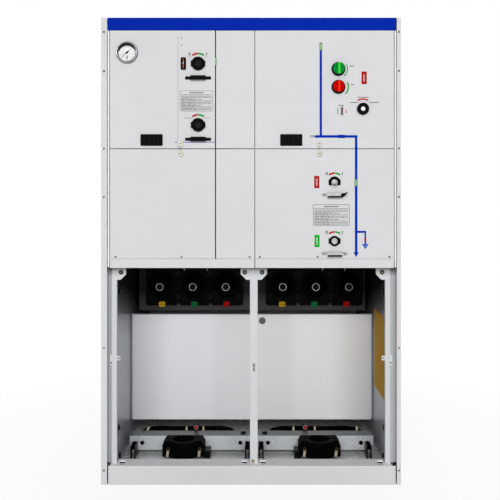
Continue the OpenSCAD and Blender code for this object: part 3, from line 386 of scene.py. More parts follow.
def dressWorld():
    world = bpy.data.worlds.new("studio")
    bpy.context.scene.world = world
    world.use_nodes = True
    world.node_tree.nodes.clear()
    start = Signal(world.node_tree)
    rays = ("Is Camera Ray", "Is Glossy Ray", "Is Transmission Ray")
    seen, glossy, through = (start.node("ShaderNodeLightPath", out=ray) for ray in rays)

    def glow(strength):
        return start.node("ShaderNodeBackground", None, {"Color": (1, 1, 1, 1), "Strength": strength})

    # what gloss mirrors: white behind the cabinet and at its sides, a dim room behind the camera with a pale screen
    toward = start.node("ShaderNodeTexCoord", out="Generated")
    across = start.maths("ABSOLUTE", axisOf(toward, 0))
    back = axisOf(toward, 1)
    screen = surround["screen"] * (1 - ramp(back, -0.97, -0.9))
    lit = surround["dimSide"] + ramp(back, -0.3, 0.3) + ramp(across, 0.5, 0.75) + screen
    lit = start.maths("MINIMUM", lit, 1.0)
    both = start.node("ShaderNodeMixShader", None, {0: glossy, 1: glow(surround["light"]), 2: glow(lit)})
    plain = start.maths("MAXIMUM", seen, through)
    both = start.node("ShaderNodeMixShader", None, {0: plain, 1: both, 2: glow(1.0)})
    out = world.node_tree.nodes.new("ShaderNodeOutputWorld")
    world.node_tree.links.new(both.socket, out.inputs["Surface"])


def addFloor():
    bpy.ops.mesh.primitive_plane_add(size=surround["floorSize"], location=(0, 0, 0))
    floor = bpy.context.object
    floor.name = "studioFloor"
    material = bpy.data.materials.new("studioFloor")
    material.use_nodes = True
    tree = material.node_tree
    tree.nodes.clear()
    start = Signal(tree)
    tone = surround["floorTone"]
    lit = start.node("ShaderNodeBsdfDiffuse", None, {"Color": (tone, tone, tone, 1)})
    white = start.node("ShaderNodeEmission", None, {"Color": (1, 1, 1, 1), "Strength": 1.0})
    seen = start.node("ShaderNodeLightPath", out="Is Camera Ray")
    place = start.node("ShaderNodeTexCoord", out="Object")
    across = axisOf(place, 0)
    along = axisOf(place, 1)
    reach = start.maths("SQRT", across * across + along * along)
    bare = surround["shadowMix"] + (1 - surround["shadowMix"]) * ramp(reach, *surround["shadowReach"])
    low, high = cadBox
    inset = surround["inset"]
    inside = (across > low[0] + inset) * (across < high[0] - inset)
    inside = inside * (along > low[1] + surround["frontInset"]) * (along < high[1] - inset)
    both = start.node("ShaderNodeMixShader", None, {0: seen * bare * (1 - inside), 1: lit, 2: white})
    out = tree.nodes.new("ShaderNodeOutputMaterial")
    tree.links.new(both.socket, out.inputs["Surface"])
    floor.data.materials.append(material)


bpy.context.scene.view_settings.view_transform = "Standard"
addCamera()
for name, lamp in lamps.items():
    addLamp(name, **lamp)
dressWorld()
addFloor()
print("camera, lamps and floor placed")


def putDown():
    if bpy.context.mode != "OBJECT":
        bpy.ops.object.mode_set(mode="OBJECT")
    bpy.ops.object.select_all(action="DESELECT")


def takeUp(piece):  # the only one selected, and active
    putDown()
    piece.select_set(True)
    bpy.context.view_layer.objects.active = piece


def bakePlace(piece):
    takeUp(piece)
    bpy.ops.object.transform_apply(location=True, rotation=True, scale=True)


def roundEdges(piece, width, steps=2, angle=32):
    takeUp(piece)
    edges = piece.modifiers.new("edges", "BEVEL")
    edges.width = width
    edges.segments = steps
    edges.limit_method = "ANGLE"
    edges.angle_limit = math.radians(angle)
    edges.harden_normals = False
    bpy.ops.object.modifier_apply(modifier=edges.name)


def smoothFaces(piece, angle=35):  # the large faces keep their own direction
    takeUp(piece)
    bpy.ops.object.shade_smooth_by_angle(angle=math.radians(angle))
    even = piece.modifiers.new("even", "WEIGHTED_NORMAL")
    even.weight = 100
    even.keep_sharp = True
    bpy.ops.object.modifier_apply(modifier=even.name)


def settle(piece, name, finish, body="cabinet"):
    piece.name = name
    piece.data.name = name
    piece.data.materials.clear()
    piece.data.materials.append(finish)
    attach(piece, body)
    putDown()
    return piece


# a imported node's own form with its edges broken, standing for that node
def softenNode(nodeName, finish, width, steps=2):
    source = nodes[nodeName]
    piece = bpy.data.objects.new(nodeName + "_soft", source.data.copy())
    bpy.context.scene.collection.objects.link(piece)
    takeUp(piece)
    bpy.ops.object.mode_set(mode="EDIT")
    bpy.ops.mesh.select_all(action="SELECT")
    bpy.ops.mesh.remove_doubles(threshold=0.000002)
    bpy.ops.mesh.dissolve_limited(angle_limit=math.radians(0.6))
    bpy.ops.object.mode_set(mode="OBJECT")
    roundEdges(piece, width, steps)
    smoothFaces(piece)
    settle(piece, nodeName + "_soft", finish, source["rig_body"])
    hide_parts(nodeName)
    return piece


# the nodes of each finish, with the width of their broken edges in millimetres; 0 keeps a node as packed
nodeLooks = [
    (cabinetPaint, {"left_side_panel": 0.9, "right_side_panel": 0.9, "rear_panel": 0.8, "roof_panel": 0.8,
                    "left_upper_panel": 0.9, "left_lower_panel": 0.9, "left_fillers": 0.9, "right_upper_panel": 0.9,
                    "right_lower_panel": 0.9, "panel_sills": 1.6}),
    (floorZinc, {"floor_plate": 0.5}), (plinthPaint, {"plinth_front": 0.3}), (bandPaint, {"top_fascia": 0.9}),
    (wallZinc, {"left_inner_wall": 0.5, "right_inner_wall": 0.5, "compartment_ceiling": 0.5}),
    (postPaint, {"left_post": 0.7, "centre_post": 0.7, "right_post": 0.7}), (tankSteel, {"gas_tank": 2.0}),
    (railZinc, {"drive_units": 1.5, "cable_rail": 1.0, "rail_stands": 0.8}), (tinnedBar, {"earth_bar": 0.6}),
    (castResin, {"left_bushing_block": 2.2, "right_bushing_block": 2.2, "current_transformers": 4.0}),
    (darkSteel, {"bushing_contacts": 0.7}), (yellowTag, {"yellow_phase_tags": 0.7}),
    (greenTag, {"green_phase_tags": 0.7}), (redTag, {"red_phase_tags": 0.7}), (innerPaint, {"rear_covers": 0.9}),
    (clampRubber, {"left_cable_clamp": 2.0, "right_cable_clamp": 2.0}), (chrome, {"gauge_case": 0}),
    (dialWhite, {"gauge_dial": 0}), (gaugeGlass, {"gauge_glass": 0}), (platePaint, {"left_operating_plate": 0.5}),
    (mouldedBlack, {"left_lever_guides": 0.8, "right_lever_guides": 0.4, "knob_rings": 0.5, "voltage_indicators": 0.5,
                    "left_padlock_straps": 0.7, "left_switch_shaft": 0.6, "left_earth_shaft": 0.6,
                    "charging_shaft": 0.6}),
    (brightSteel, {"right_padlock_straps": 0.7, "right_switch_shaft": 0.6, "right_earth_shaft": 0.6}),
    (ivoryPlastic, {"seal_posts": 0.5}), (windowFrame, {"position_windows": 0.4}), (greenKnob, {"close_knob": 1.2}),
    (redKnob, {"open_knob": 1.2}),
]
for finish, widths in nodeLooks:
    for nodeName, width in widths.items():
        if width:
            softenNode(nodeName, finish, width / 1000)
        else:
            nodes[nodeName].data.materials.clear()
            nodes[nodeName].data.materials.append(finish)
print("packed nodes dressed")


# rings, as (radius, height), drawn up from a disc of the first radius; the axis is Z until it is turned
def discStack(rings, sides=24):
    putDown()
    size, level = rings[0][0], 0.0
    bpy.ops.mesh.primitive_circle_add(vertices=sides, radius=size, fill_type="NGON")
    piece = bpy.context.object
    bpy.ops.object.mode_set(mode="EDIT")
    bpy.ops.mesh.select_all(action="SELECT")
    for nextSize, nextLevel in rings:
        bpy.ops.mesh.extrude_region_move(TRANSFORM_OT_translate={"value": (0, 0, nextLevel - level)})
        grow = nextSize / size
        bpy.ops.transform.resize(value=(grow, grow, 1), center_override=(0, 0, nextLevel))
        size, level = nextSize, nextLevel
    bpy.ops.mesh.select_all(action="SELECT")
    bpy.ops.mesh.normals_make_consistent(inside=False)
    bpy.ops.object.mode_set(mode="OBJECT")
    return piece


def around(middle, half):
    return middle - half, middle + half


def slab(xs, ys, zs, width=0.0003, steps=2):  # a block between limits on each axis, with its edges broken
    putDown()
    middle = [(low + high) / 2 for low, high in (xs, ys, zs)]
    bpy.ops.mesh.primitive_cube_add(size=1, location=middle, scale=[high - low for low, high in (xs, ys, zs)])
    piece = bpy.context.object
    bakePlace(piece)
    roundEdges(piece, width, steps)
    return piece


quarter = math.pi / 2
ways = {"front": (quarter, 0, 0), "back": (-quarter, 0, 0), "left": (0, -quarter, 0), "right": (0, quarter, 0),
        "down": (math.pi, 0, 0), "up": (0, 0, 0)}


def turnTo(piece, way):
    piece.rotation_euler = ways[way]
    bakePlace(piece)
    return piece


def copiesAt(model, places):  # the model itself goes
    made = []
    for place in places:
        copy = model.copy()
        copy.data = model.data.copy()
        copy.location = place
        bpy.context.scene.collection.objects.link(copy)
        made.append(copy)
    bpy.data.objects.remove(model)
    return made


def gather(parts, name, finish, body="cabinet"):
    putDown()
    for part in parts:
        part.select_set(True)
    bpy.context.view_layer.objects.active = parts[0]
    if len(parts) > 1:
        bpy.ops.object.join()
    piece = bpy.context.object
    bakePlace(piece)
    smoothFaces(piece)
    return settle(piece, name, finish, body)


def plant(model, places, name, finish, way="front", body="cabinet"):  # copies of one model, as one piece
    return gather(copiesAt(turnTo(model, way), places), name, finish, body)


def addRow(name, finish, make, size, xs, y, zs, way="front", body="cabinet"):
    plant(make(*size), [(x, y, z) for x in xs for z in zs], name, finish, way, body)


def addSlabs(name, finish, xs, half, ys, zs, width, steps=2):
    gather([slab(around(x, half), ys, zs, width, steps) for x in xs], name, finish)


def panScrew(radius, height):
    return discStack([(radius, 0.35 * height), (0.9 * radius, 0.75 * height), (0.62 * radius, height),
                      (0.46 * radius, height), (0.34 * radius, 0.55 * height)], 20)


def socketBolt(radius, height):
    return discStack([(radius, 0.86 * height), (0.9 * radius, height), (0.56 * radius, height),
                      (0.5 * radius, 0.4 * height)])


def hexBolt(radius, height, washer):
    head = discStack([(radius, 0.82 * height), (0.88 * radius, height), (0.5 * radius, height),
                      (0.44 * radius, 0.8 * height)], 6)
    ring = discStack([(washer, 0.0012), (0.94 * washer, 0.0016)], 28)
    takeUp(head)
    ring.select_set(True)
    bpy.ops.object.join()
    return head


def threaded(radius, length, pitch, nut=(0, 0)):  # a stud drawn up turn by turn, with a nut between two heights
    rings, level = [], 0.0
    while level < length - pitch:
        wide = 1.85 * radius if nut[0] <= level < nut[1] else radius
        rings += [(wide, level + 0.1 * pitch), (wide, level + 0.5 * pitch)]
        if wide == radius:
            rings += [(0.84 * radius, level + 0.7 * pitch)]
        level += pitch
    return discStack(rings + [(0.6 * radius, length)], 18)


# a print on the front: closed outlines in (x, z), in millimetres, standing a little proud of a face
def printShape(outlines, face, name, finish, thick=0.00025, body="cabinet"):
    drawn = bpy.data.curves.new(name, "CURVE")
    drawn.dimensions = "2D"
    drawn.fill_mode = "BOTH"
    drawn.extrude = thick / 2
    for outline in outlines:
        line = drawn.splines.new("POLY")
        line.points.add(len(outline) - 1)
        for point, (x, z) in zip(line.points, outline):
            point.co = (x / 1000, z / 1000, 0, 1)
        line.use_cyclic_u = True
    piece = bpy.data.objects.new(name, drawn)
    bpy.context.scene.collection.objects.link(piece)
    takeUp(piece)
    bpy.ops.object.convert(target="MESH")
    piece = bpy.context.object
    piece.location = (0, face - thick / 2, 0)
    turnTo(piece, "front")
    return settle(piece, name, finish, body)


def bar(x0, x1, z0, z1):
    return [(x0, z0), (x1, z0), (x1, z1), (x0, z1)]


def barsAt(x, z, bars):  # limits in X and in Z from a middle
    return [bar(x + x0, x + x1, z + z0, z + z1) for x0, x1, z0, z1 in bars]


def dashRows(x, z, rows):  # each row: its start from a middle, count, and each dash's length, gap and height
    return [bar(x + dx + i * (long + gap), x + dx + i * (long + gap) + long, z + dz, z + dz + high)
            for dx, dz, count, long, gap, high in rows for i in range(count)]


def shifted(outline, x, z):
    return [(x + a, z + b) for a, b in outline]


def arcBand(x, z, radius, width, start, end, steps=14):  # degrees, from +X towards +Z
    turns = [math.radians(start + (end - start) * i / steps) for i in range(steps + 1)]
    outer = [(x + (radius + width / 2) * math.cos(t), z + (radius + width / 2) * math.sin(t)) for t in turns]
    inner = [(x + (radius - width / 2) * math.cos(t), z + (radius - width / 2) * math.sin(t)) for t in turns]
    return outer + inner[::-1]


def roundBar(x0, x1, z0, z1, corner, steps=4):
    points = []
    for cx, cz, start in ((x1 - corner, z1 - corner, 0), (x0 + corner, z1 - corner, 90),
                          (x0 + corner, z0 + corner, 180), (x1 - corner, z0 + corner, 270)):
        for i in range(steps + 1):
            t = math.radians(start + 90 * i / steps)
            points.append((cx + corner * math.cos(t), cz + corner * math.sin(t)))
    return points


frontFace = -0.413  # the front of the panels
plateFace = -0.4145  # the front of the operating plate
thinInk = 0.0002
print("tools ready")

# blue single-line diagram on the panels, with its green and red blocks; pairs are limits in X or in Z
diagram = {"riser": (196.3, 203.1), "top": 1242.7, "bus": (992.6, 999.8), "busStart": 183.0, "link": (249.0, 268.5),
           "linkProud": 1.2, "drop": (297.0, 304.4), "tip": 651.0, "head": 14.0, "barbs": (3.8, 3.5),
           "branch": (720.4, 726.4), "earth": (324.6, 329.2), "earthGap": (697.8, 705.8), "earthFoot": 688.7,
           "blockTop": 1261.0, "endTop": 1265.0, "switchBlock": (855.4, 872.3)}
# the pieces beside the main route: outline, face, finish
diagramMarks = {
    "left_diagram_line": (bar(-218.5, -209.2, 978.8, 980.5), frontFace, mimicBlue),
    "left_plate_line": (bar(-208.8, -103.2, 978.8, 980.5), plateFace, mimicBlue),
    "diagram_earth_mark": ([(316.6, 689), (336.8, 689), (326.9, 673.6)], frontFace, paleBlue),
    "diagram_node": (roundBar(168.7, 181, 993.4, 999.2, 2.8), frontFace, inkGrey),
    "diagram_node_face": (roundBar(171, 178.8, 995, 997.6, 1.2), frontFace - 0.00025, labelFilm),
}


def printDiagram(riser, top, bus, busStart, link, linkProud, drop, tip, head, barbs, branch, earth, earthGap, earthFoot,
                 blockTop, endTop, switchBlock):
    neck = tip + head
    under, over = bus[0] - linkProud, bus[1] + linkProud
    route = [(riser[0], top), (riser[1], top), (riser[1], bus[1]), (link[0], bus[1]), (link[0], over),
             (link[1], over), (link[1], bus[1]), (drop[1], bus[1]), (drop[1], branch[1]), (earth[1], branch[1]),
             (earth[1], earthGap[1]), (earth[0], earthGap[1]), (earth[0], branch[0]), (drop[1], branch[0]),
             (drop[1], neck), (drop[1] + barbs[1], neck), ((drop[0] + drop[1]) / 2, tip), (drop[0] - barbs[0], neck),
             (drop[0], neck), (drop[0], bus[0]), (link[1], bus[0]), (link[1], under), (link[0], under),
             (link[0], bus[0]), (busStart, bus[0]), (busStart, bus[1]), (riser[0], bus[1])]
    tail = bar(*earth, earthFoot, earthGap[0])
    lead = bar(180.5, busStart, 995.2, 997.4)
    printShape([route, tail, lead], frontFace, "diagram_lines", mimicBlue)
    blocks = [roundBar(riser[0] - 1.6, riser[1] + 1.6, top, blockTop, 1.2),
              bar(drop[0] - 1.8, drop[1] + 1.4, *switchBlock)]
    printShape(blocks, frontFace, "diagram_switch_blocks", paleGreen, 0.0005)
    endBlock = bar(riser[0] - 0.4, riser[1] + 0.4, blockTop, endTop)
    printShape([endBlock], frontFace, "diagram_end_block", paleGrey, 0.0004)
    earthBlock = bar(earth[0] - 0.6, earth[1] + 0.6, *earthGap)
    printShape([earthBlock], frontFace, "diagram_earth_block", inkRed, 0.0005)


printDiagram(**diagram)
for name, (outline, face, finish) in diagramMarks.items():
    printShape([outline], face, name, finish)
print("diagram printed")

# lever sockets: middle, face, radius of the two-coloured arc over each, and its half angle
socketMarks = {"left_switch": (-151, 1204, plateFace, 29.0, 35), "left_earth": (-151, 1029, plateFace, 29.0, 35),
               "right_switch": (239, 865, frontFace, 26.3, 37), "right_earth": (239, 697, frontFace, 26.3, 37)}
socketArc = {"width": 5.0, "gap": 0.6, "markOut": 0.85, "markUp": 0.96, "ruleHalf": 6, "ruleDrop": (7.4, 6.9),
             "earthRows": [(-40.5, 19.0, 6, 3.2, 1.0, 1.6), (18.5, 19.0, 4, 3.2, 1.0, 1.6)]}


def printSocket(name, x, z, face, radius, half):
    width, gap = socketArc["width"], socketArc["gap"]
    printShape([arcBand(x, z, radius, width, 90 + gap, 90 + half)], face, name + "_arc_open", inkRed)
    printShape([arcBand(x, z, radius, width, 90 - half, 90 - gap)], face, name + "_arc_closed", inkGreen)
    if name == "left_earth":  # this one only has two faint rows
        printShape(dashRows(x, z, socketArc["earthRows"]), face, name + "_mark_rules", paleGrey)
        return
    sides = around(x, socketArc["markOut"] * radius)
    up = z + socketArc["markUp"] * radius
    halves = [arcBand(0, 0, 2.5, 1.7, turn, turn + 180, 8) for turn in (0, 180)]
    marks = [[(sides[0] + 0.9 * a, up + 1.35 * b) for a, b in points] for points in halves]  # a tall O
    marks += [bar(*around(sides[1], 1.1), *around(up, 3.8))]  # an I
    printShape(marks, face, name + "_position_marks", inkBlack)
    low, high = (up - drop for drop in socketArc["ruleDrop"])
    rules = [bar(*around(side, socketArc["ruleHalf"]), low, high) for side in sides]
    printShape(rules, face, name + "_mark_rules", paleGrey)


for name, marks in socketMarks.items():
    printSocket(name, *marks)

# turning knobs: middle, an arrow at the right by its radius, width and angles, and a short row of dashes
knobMarks = {"close": (250, 1189, 26.2, 2.8, -43, 32, (31.5, 7.0, 4, 2.6, 0.9, 2.8)),
             "open": (250, 1138, 28.6, 4.0, -40, 27, (35.0, 4.6, 3, 2.6, 0.9, 2.8))}
arrowHead = [(-3.4, -1.8), (2.6, 1.2), (-1.2, 3.6)]


def printKnob(name, x, z, radius, width, start, end, row):
    tip = math.radians(start - 2)
    head = shifted(arrowHead, x + radius * math.cos(tip), z + radius * math.sin(tip))
    printShape([arcBand(x, z, radius, width, start, end), head], frontFace, name + "_turn_arrow", inkGreen)
    printShape(dashRows(x, z, [row]), frontFace, name + "_ruled_mark", inkGrey, thinInk)


for name, marks in knobMarks.items():
    printKnob(name, *marks)

# charging socket and spring indicator: an arc, and rows of dashes for their names
charge = {"x": 320, "z": 1075, "arc": (28.2, 4.2, 58, 122),
          "rows": [(-35.5, 17.2, 5, 3.2, 0.9, 2.6), (17.5, 17.2, 7, 3.2, 0.9, 2.6), (-16.2, 31.8, 7, 3.6, 1.2, 2.4)]}
printShape([arcBand(charge["x"], charge["z"], *charge["arc"])], frontFace, "charging_arc", inkRed)
dashes = dashRows(charge["x"], charge["z"], charge["rows"])
printShape(dashes, frontFace, "charging_ruled_marks", inkGrey, thinInk)
spring = {"x": 260, "z": 1069, "rows": {
    "green": (inkGreen, [(-13.4, 4.4 * i - 9.0, 1, 3.2, 0, 3.4) for i in range(4)]),
    "red": (plateRed, [(10.6, 4.8 * i - 5.4, 1, 2.8, 0, 3.6) for i in range(2)]),
    "grey": (inkGrey, [(-9.8, 14.8, 4, 3.2, 0.8, 2.4)])}}
for tone, (finish, rows) in spring["rows"].items():
    printShape(dashRows(spring["x"], spring["z"], rows), frontFace, "spring_mark_" + tone, finish, thinInk)
print("control marks printed")

# coloured name plates beside the controls: middle, width, height; their words are only ruled strokes
namePlates = {"charge_plate": (323.5, 1163.8, 15.0, 36.0, plateRed),
              "switch_plate": (188.0, 865.8, 14.8, 35.0, plateRed),
              "earth_plate": (188.8, 697.2, 14.4, 35.0, plateGreen)}
plateWords = {"thick": 0.0006, "pitch": 4.4, "count": 5,
              "strokes": [(-2.4, 2.4, 0.4, 1.3), (-2.4, -1.3, 1.3, 3.6), (0.7, 2.0, 1.9, 3.6)]}


def addNamePlate(name, x, z, wide, high, finish):
    front = frontFace - plateWords["thick"]
    plate = slab(around(x / 1000, wide / 2000), (front, frontFace), around(z / 1000, high / 2000), 0.0002)
    gather([plate], name, finish)
    count, pitch = plateWords["count"], plateWords["pitch"]
    lows = [z - count / 2 * pitch + i * pitch for i in range(count)]
    strokes = [mark for low in lows for mark in barsAt(x, low, plateWords["strokes"])]
    printShape(strokes, front, name + "_ruled_marks", labelFilm, 0.0001)


for name, plate in namePlates.items():
    addNamePlate(name, *plate)

# instruction labels: a thin border, a heading and ruled lines that stand for text, denser at the left
textLabels = {"right_label": {"area": (177.6, 281.7, 741.6, 801.7), "face": frontFace, "border": 1.2},
              "left_label": {"area": (-203.5, -109.0, 1068.0, 1127.0), "face": plateFace, "border": 0.9}}
textPage = {"rows": 11, "heading": (-20, -7.6, 6, 5.4, 1.4, 3.0), "top": 11, "foot": 1, "margin": 2.6, "indent": 1.6,
            "end": 4, "shorter": 26.0, "space": 1.5, "high": 1.9, "denseHigh": 2.6, "denseShare": 0.42}


def printLabel(name, area, face, border):
    x0, x1, z0, z1 = area
    rim = [roundBar(x0, x1, z0, z1, 2.6), roundBar(x0 + border, x1 - border, z0 + border, z1 - border, 2.0)]
    printShape(rim, face, name + "_border", inkGrey, thinInk)
    pitch = (z1 - z0 - textPage["top"] - textPage["foot"]) / textPage["rows"]
    lines, dense = [], []
    for row in range(textPage["rows"]):
        top = z1 - textPage["top"] - row * pitch
        x = x0 + textPage["margin"] + (textPage["indent"] if row % 3 else 0.0)
        end = x1 - textPage["end"] - (textPage["shorter"] if row % 4 == 3 else 0.0)
        word = 0
        while x < end:
            wide = min(6.0 + (row * 5 + word * 7) % 9, end - x)  # words of 6 to 14 mm
            early = row > 1 and x < x0 + textPage["denseShare"] * (x1 - x0)
            high = textPage["denseHigh" if early else "high"]
            (dense if early else lines).append(bar(x, x + wide, top - high, top))
            x += wide + textPage["space"]
            word += 1
    printShape(dashRows((x0 + x1) / 2, z1, [textPage["heading"]]), face, name + "_heading", inkGrey, thinInk)
    printShape(lines, face, name + "_lines", paleGrey, thinInk)
    printShape(dense, face, name + "_dense_lines", paleGrey, thinInk)


for name, label in textLabels.items():
    printLabel(name, **label)
print("labels printed")

# pan-head screws along the flanges and the foot of the panels
panelScrews = {"size": (0.0031, 0.0016), "flangeX": (-0.4205, 0.4232), "footZ": 0.652,
               "flangeZ": (1.295, 1.183, 0.962, 0.823, 0.391, 0.041),
               "footX": (-0.3875, -0.199, -0.004, 0.0255, 0.1905, 0.3955)}
places = [(x, frontFace, z) for x in panelScrews["flangeX"] for z in panelScrews["flangeZ"]]
places += [(x, frontFace, panelScrews["footZ"]) for x in panelScrews["footX"]]
plant(panScrew(*panelScrews["size"]), places, "panel_screws", screwZinc)

# rows of one small model on the front: finish, maker, its sizes, places in X, depth, heights, way and body
voltageBox = {"xs": (-0.284, 0.115), "columns": (-0.0185, -0.0062, 0.0062, 0.0185), "face": -0.415,
              "lens": [(0.0021, 0.0004), (0.0016, 0.0009), (0.0008, 0.0012)]}
voltageXs = [x + column for x in voltageBox["xs"] for column in voltageBox["columns"]]
capRings = [(0.0102, 0.0012), (0.00918, 0.0022), (0.006324, 0.0022), (0.00561, 0.001)]
tipRings = [(0.0062, 0.001), (0.0056, 0.0014), (0.0014, 0.0014), (0.0011, 0.0002)]
frontRows = {
    "plate_screws": (screwZinc, panScrew, (0.0019, 0.0011), (-0.1985,), plateFace, (1.278, 1.257)),
    "left_strap_screws": (blackBolt, panScrew, (0.0034, 0.0014), (-0.18, -0.122), -0.417, (1.163, 0.988)),
    "right_strap_screws": (brass, panScrew, (0.0036, 0.0016), (0.21, 0.268), -0.4155, (0.829, 0.661)),
    "voltage_lamp_lenses": (blackBolt, discStack, (voltageBox["lens"], 16), voltageXs, -0.415, (0.98, 0.992)),
    "left_switch_shaft_cap": (capBlack, discStack, (capRings, 32), (-0.151,), -0.4196, (1.204,), "front",
                              "left_switch_shaft"),
    "left_earth_shaft_cap": (capBlack, discStack, (capRings, 32), (-0.151,), -0.4196, (1.029,), "front",
                             "left_earth_shaft"),
    "charging_shaft_tip": (dialWhite, discStack, (tipRings,), (0.32,), -0.418, (1.075,), "front", "charging_shaft"),
}
for name, row in frontRows.items():
    addRow(name, *row)
print("front screws and caps placed")

# pressure gauge: scale, numbers, pointer with a tail, hub, and a black crescent over the top of the dial that paints
# the shade under the bezel
gauge = {"x": -354.0, "z": 1236.0, "dial": -0.415, "scale": 22.5, "ticks": (4.2, 2.6), "first": 225.0, "step": 27.0,
         "numbers": ("0", "2", "4", "6", "8"), "pointer": 222.0,
         "needle": [(19.0, 0.4), (3.0, 1.1), (-8.0, 1.4), (-8.0, -1.4), (3.0, -1.1), (19.0, -0.4)]}
gaugeNumber = {"reach": 0.0148, "size": 0.0046, "drop": 0.0014, "thick": 0.00008}
gaugeShade = {"start": 14, "sweep": 160, "steps": 28, "rim": 25.0, "brim": 24.6, "deep": 5.6}
gaugeHub = [(0.0034, 0.0007), (0.0026, 0.0014), (0.0012, 0.0018)]
gaugeRings = {
    "gauge_body": ([(0.031, 0.0062), (0.0305, 0.0072), (0.0298, 0.0074), (0.0292, 0.0010)], darkSteel),
    "gauge_bezel": ([(0.0300, 0.0072), (0.0297, 0.0092), (0.0290, 0.0104), (0.0282, 0.0109), (0.0274, 0.0105),
                     (0.0268, 0.0094), (0.0266, 0.0012)], chrome),
    "gauge_gasket": ([(0.0268, 0.0080), (0.0264, 0.0086), (0.0256, 0.0086), (0.0254, 0.0014)], mouldedBlack),
}


def dressGauge(x, z, dial, scale, ticks, first, step, numbers, pointer, needle):
    def turned(points, turn):
        c, s = math.cos(math.radians(turn)), math.sin(math.radians(turn))
        return [(x + a * c - b * s, z + a * s + b * c) for a, b in points]

    def spoke(turn, inner, outer, width):
        return turned([(inner, -width), (outer, -width), (outer, width), (inner, width)], turn)

    marks = [spoke(first - i * step, scale - ticks[i % 2], scale, 0.35) for i in range(11)]
    marks.append(spoke(270, 8.5, scale - 2, 1.2))
    printShape(marks, dial, "gauge_scale", inkBlack, 0.00015)
    middle = (x / 1000, dial, z / 1000)
    figures = []
    for i, number in enumerate(numbers):
        t = math.radians(first - 2 * i * step - step)
        across, up = gaugeNumber["reach"] * math.cos(t), gaugeNumber["reach"] * math.sin(t) - gaugeNumber["drop"]
        putDown()
        bpy.ops.object.text_add(location=(middle[0] + across, dial - 0.0001, middle[2] + up))
        figure = bpy.context.object
        figure.data.body = number
        figure.data.size = gaugeNumber["size"]
        figure.data.align_x = "CENTER"
        figure.data.extrude = gaugeNumber["thick"]
        bpy.ops.object.convert(target="MESH")
        figures.append(turnTo(bpy.context.object, "front"))
    gather(figures, "gauge_numbers", inkGrey)
    printShape([turned(needle, pointer)], dial - 0.0006, "gauge_pointer", inkBlack, 0.0004)
    plant(discStack(gaugeHub, 20), [middle], "gauge_hub", inkBlack)
    # painted shade: a black crescent in front of the dial, deepest at the top
    steps = gaugeShade["steps"]
    turns = [math.radians(gaugeShade["start"] + gaugeShade["sweep"] * i / steps) for i in range(steps + 1)]
    deeps = [gaugeShade["deep"] * math.sin(math.pi * i / steps) ** 0.5 for i in range(steps + 1)]
    reaches = [gaugeShade["rim"]] * len(turns) + [gaugeShade["brim"] - deep for deep in deeps[::-1]]
    shadeOutline = [(x + reach * math.cos(t), z + reach * math.sin(t)) for reach, t in zip(reaches, turns + turns[::-1])]
    printShape([shadeOutline], dial - 0.0022, "gauge_painted_shade", inkBlack, 0.0012)


dressGauge(**gauge)
for name, (rings, finish) in gaugeRings.items():
    ring = plant(discStack(rings, 72), [(gauge["x"] / 1000, frontFace, gauge["z"] / 1000)], name, finish)
    if name == "gauge_body":
        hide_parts("gauge_case")
print("gauge dressed")

# flags behind the windows: a cranked lever with a pale patch at the left that paints a glint, and a plain bar at the
# right
positionFlag = {"x": -193.0, "z": 1204.0, "face": -0.4166, "thick": 0.0010,
                "lever": [(-1.3, -13.2), (0.9, -13.2), (1.2, -4), (0.3, 1), (1.5, 4.4), (1.3, 12.6), (-0.9, 13.2),
                          (-1.2, 5), (-1.8, 1.4), (-0.8, -3)],
                "catch": [(-2.3, -1.2), (-0.6, -1.6), (0.9, 3.4), (-0.4, 4)]}
x, z, face, thick = (positionFlag[key] for key in ("x", "z", "face", "thick"))
printShape([shifted(positionFlag["lever"], x, z)], face, "position_flag", flagOrange, thick)
# painted highlight: a pale glint on the lever
printShape([shifted(positionFlag["catch"], x, z)], face - thick, "position_flag_glint", labelFilm, 0.0003)
springFlag = {"area": (257.4, 262.6, 1058.5, 1079.5), "corner": 0.5, "face": -0.4151}
flag = roundBar(*springFlag["area"], springFlag["corner"])
printShape([flag], springFlag["face"], "spring_flag", flagRed, 0.0006)

# voltage boxes: a dot at each end and a rule over each column of lamps
voltageMarks = {"dotReach": 24.5, "dotZ": 986.5, "dotHalf": 0.6, "dotCorner": 0.55, "ruleHalf": 1.6,
                "ruleZ": (997.2, 997.8)}
dotSpan = around(voltageMarks["dotZ"], voltageMarks["dotHalf"])
marks = [roundBar(*around(dotX, voltageMarks["dotHalf"]), *dotSpan, voltageMarks["dotCorner"], 3)
         for x in voltageBox["xs"] for dotX in around(1000 * x, voltageMarks["dotReach"])]
marks += [bar(*around(1000 * x, voltageMarks["ruleHalf"]), *voltageMarks["ruleZ"]) for x in voltageXs]
printShape(marks, voltageBox["face"], "voltage_box_marks", inkGrey, thinInk)

# black tongues under the bright straps, which a padlock holds, and a wedge at the upper one: partly the straps' black
# undersides, partly painted shade beneath them
strapShade = {"xs": (0.2185, 0.2595), "ys": (-0.4258, -0.4132), "zs": ((0.8212, 0.8258), (0.6532, 0.6578)),
          "wedge": [(257.5, 833.0), (276.5, 836.6), (264.5, 824.5), (259.5, 821.4), (255.0, 821.4)],
          "wedgeFace": -0.4247}
strapShades = [slab(strapShade["xs"], strapShade["ys"], zs, 0.0005) for zs in strapShade["zs"]]
gather(strapShades, "right_strap_shade_tongues", mouldedBlack)
printShape([strapShade["wedge"]], strapShade["wedgeFace"], "right_strap_shade_wedge", mouldedBlack, 0.0012)

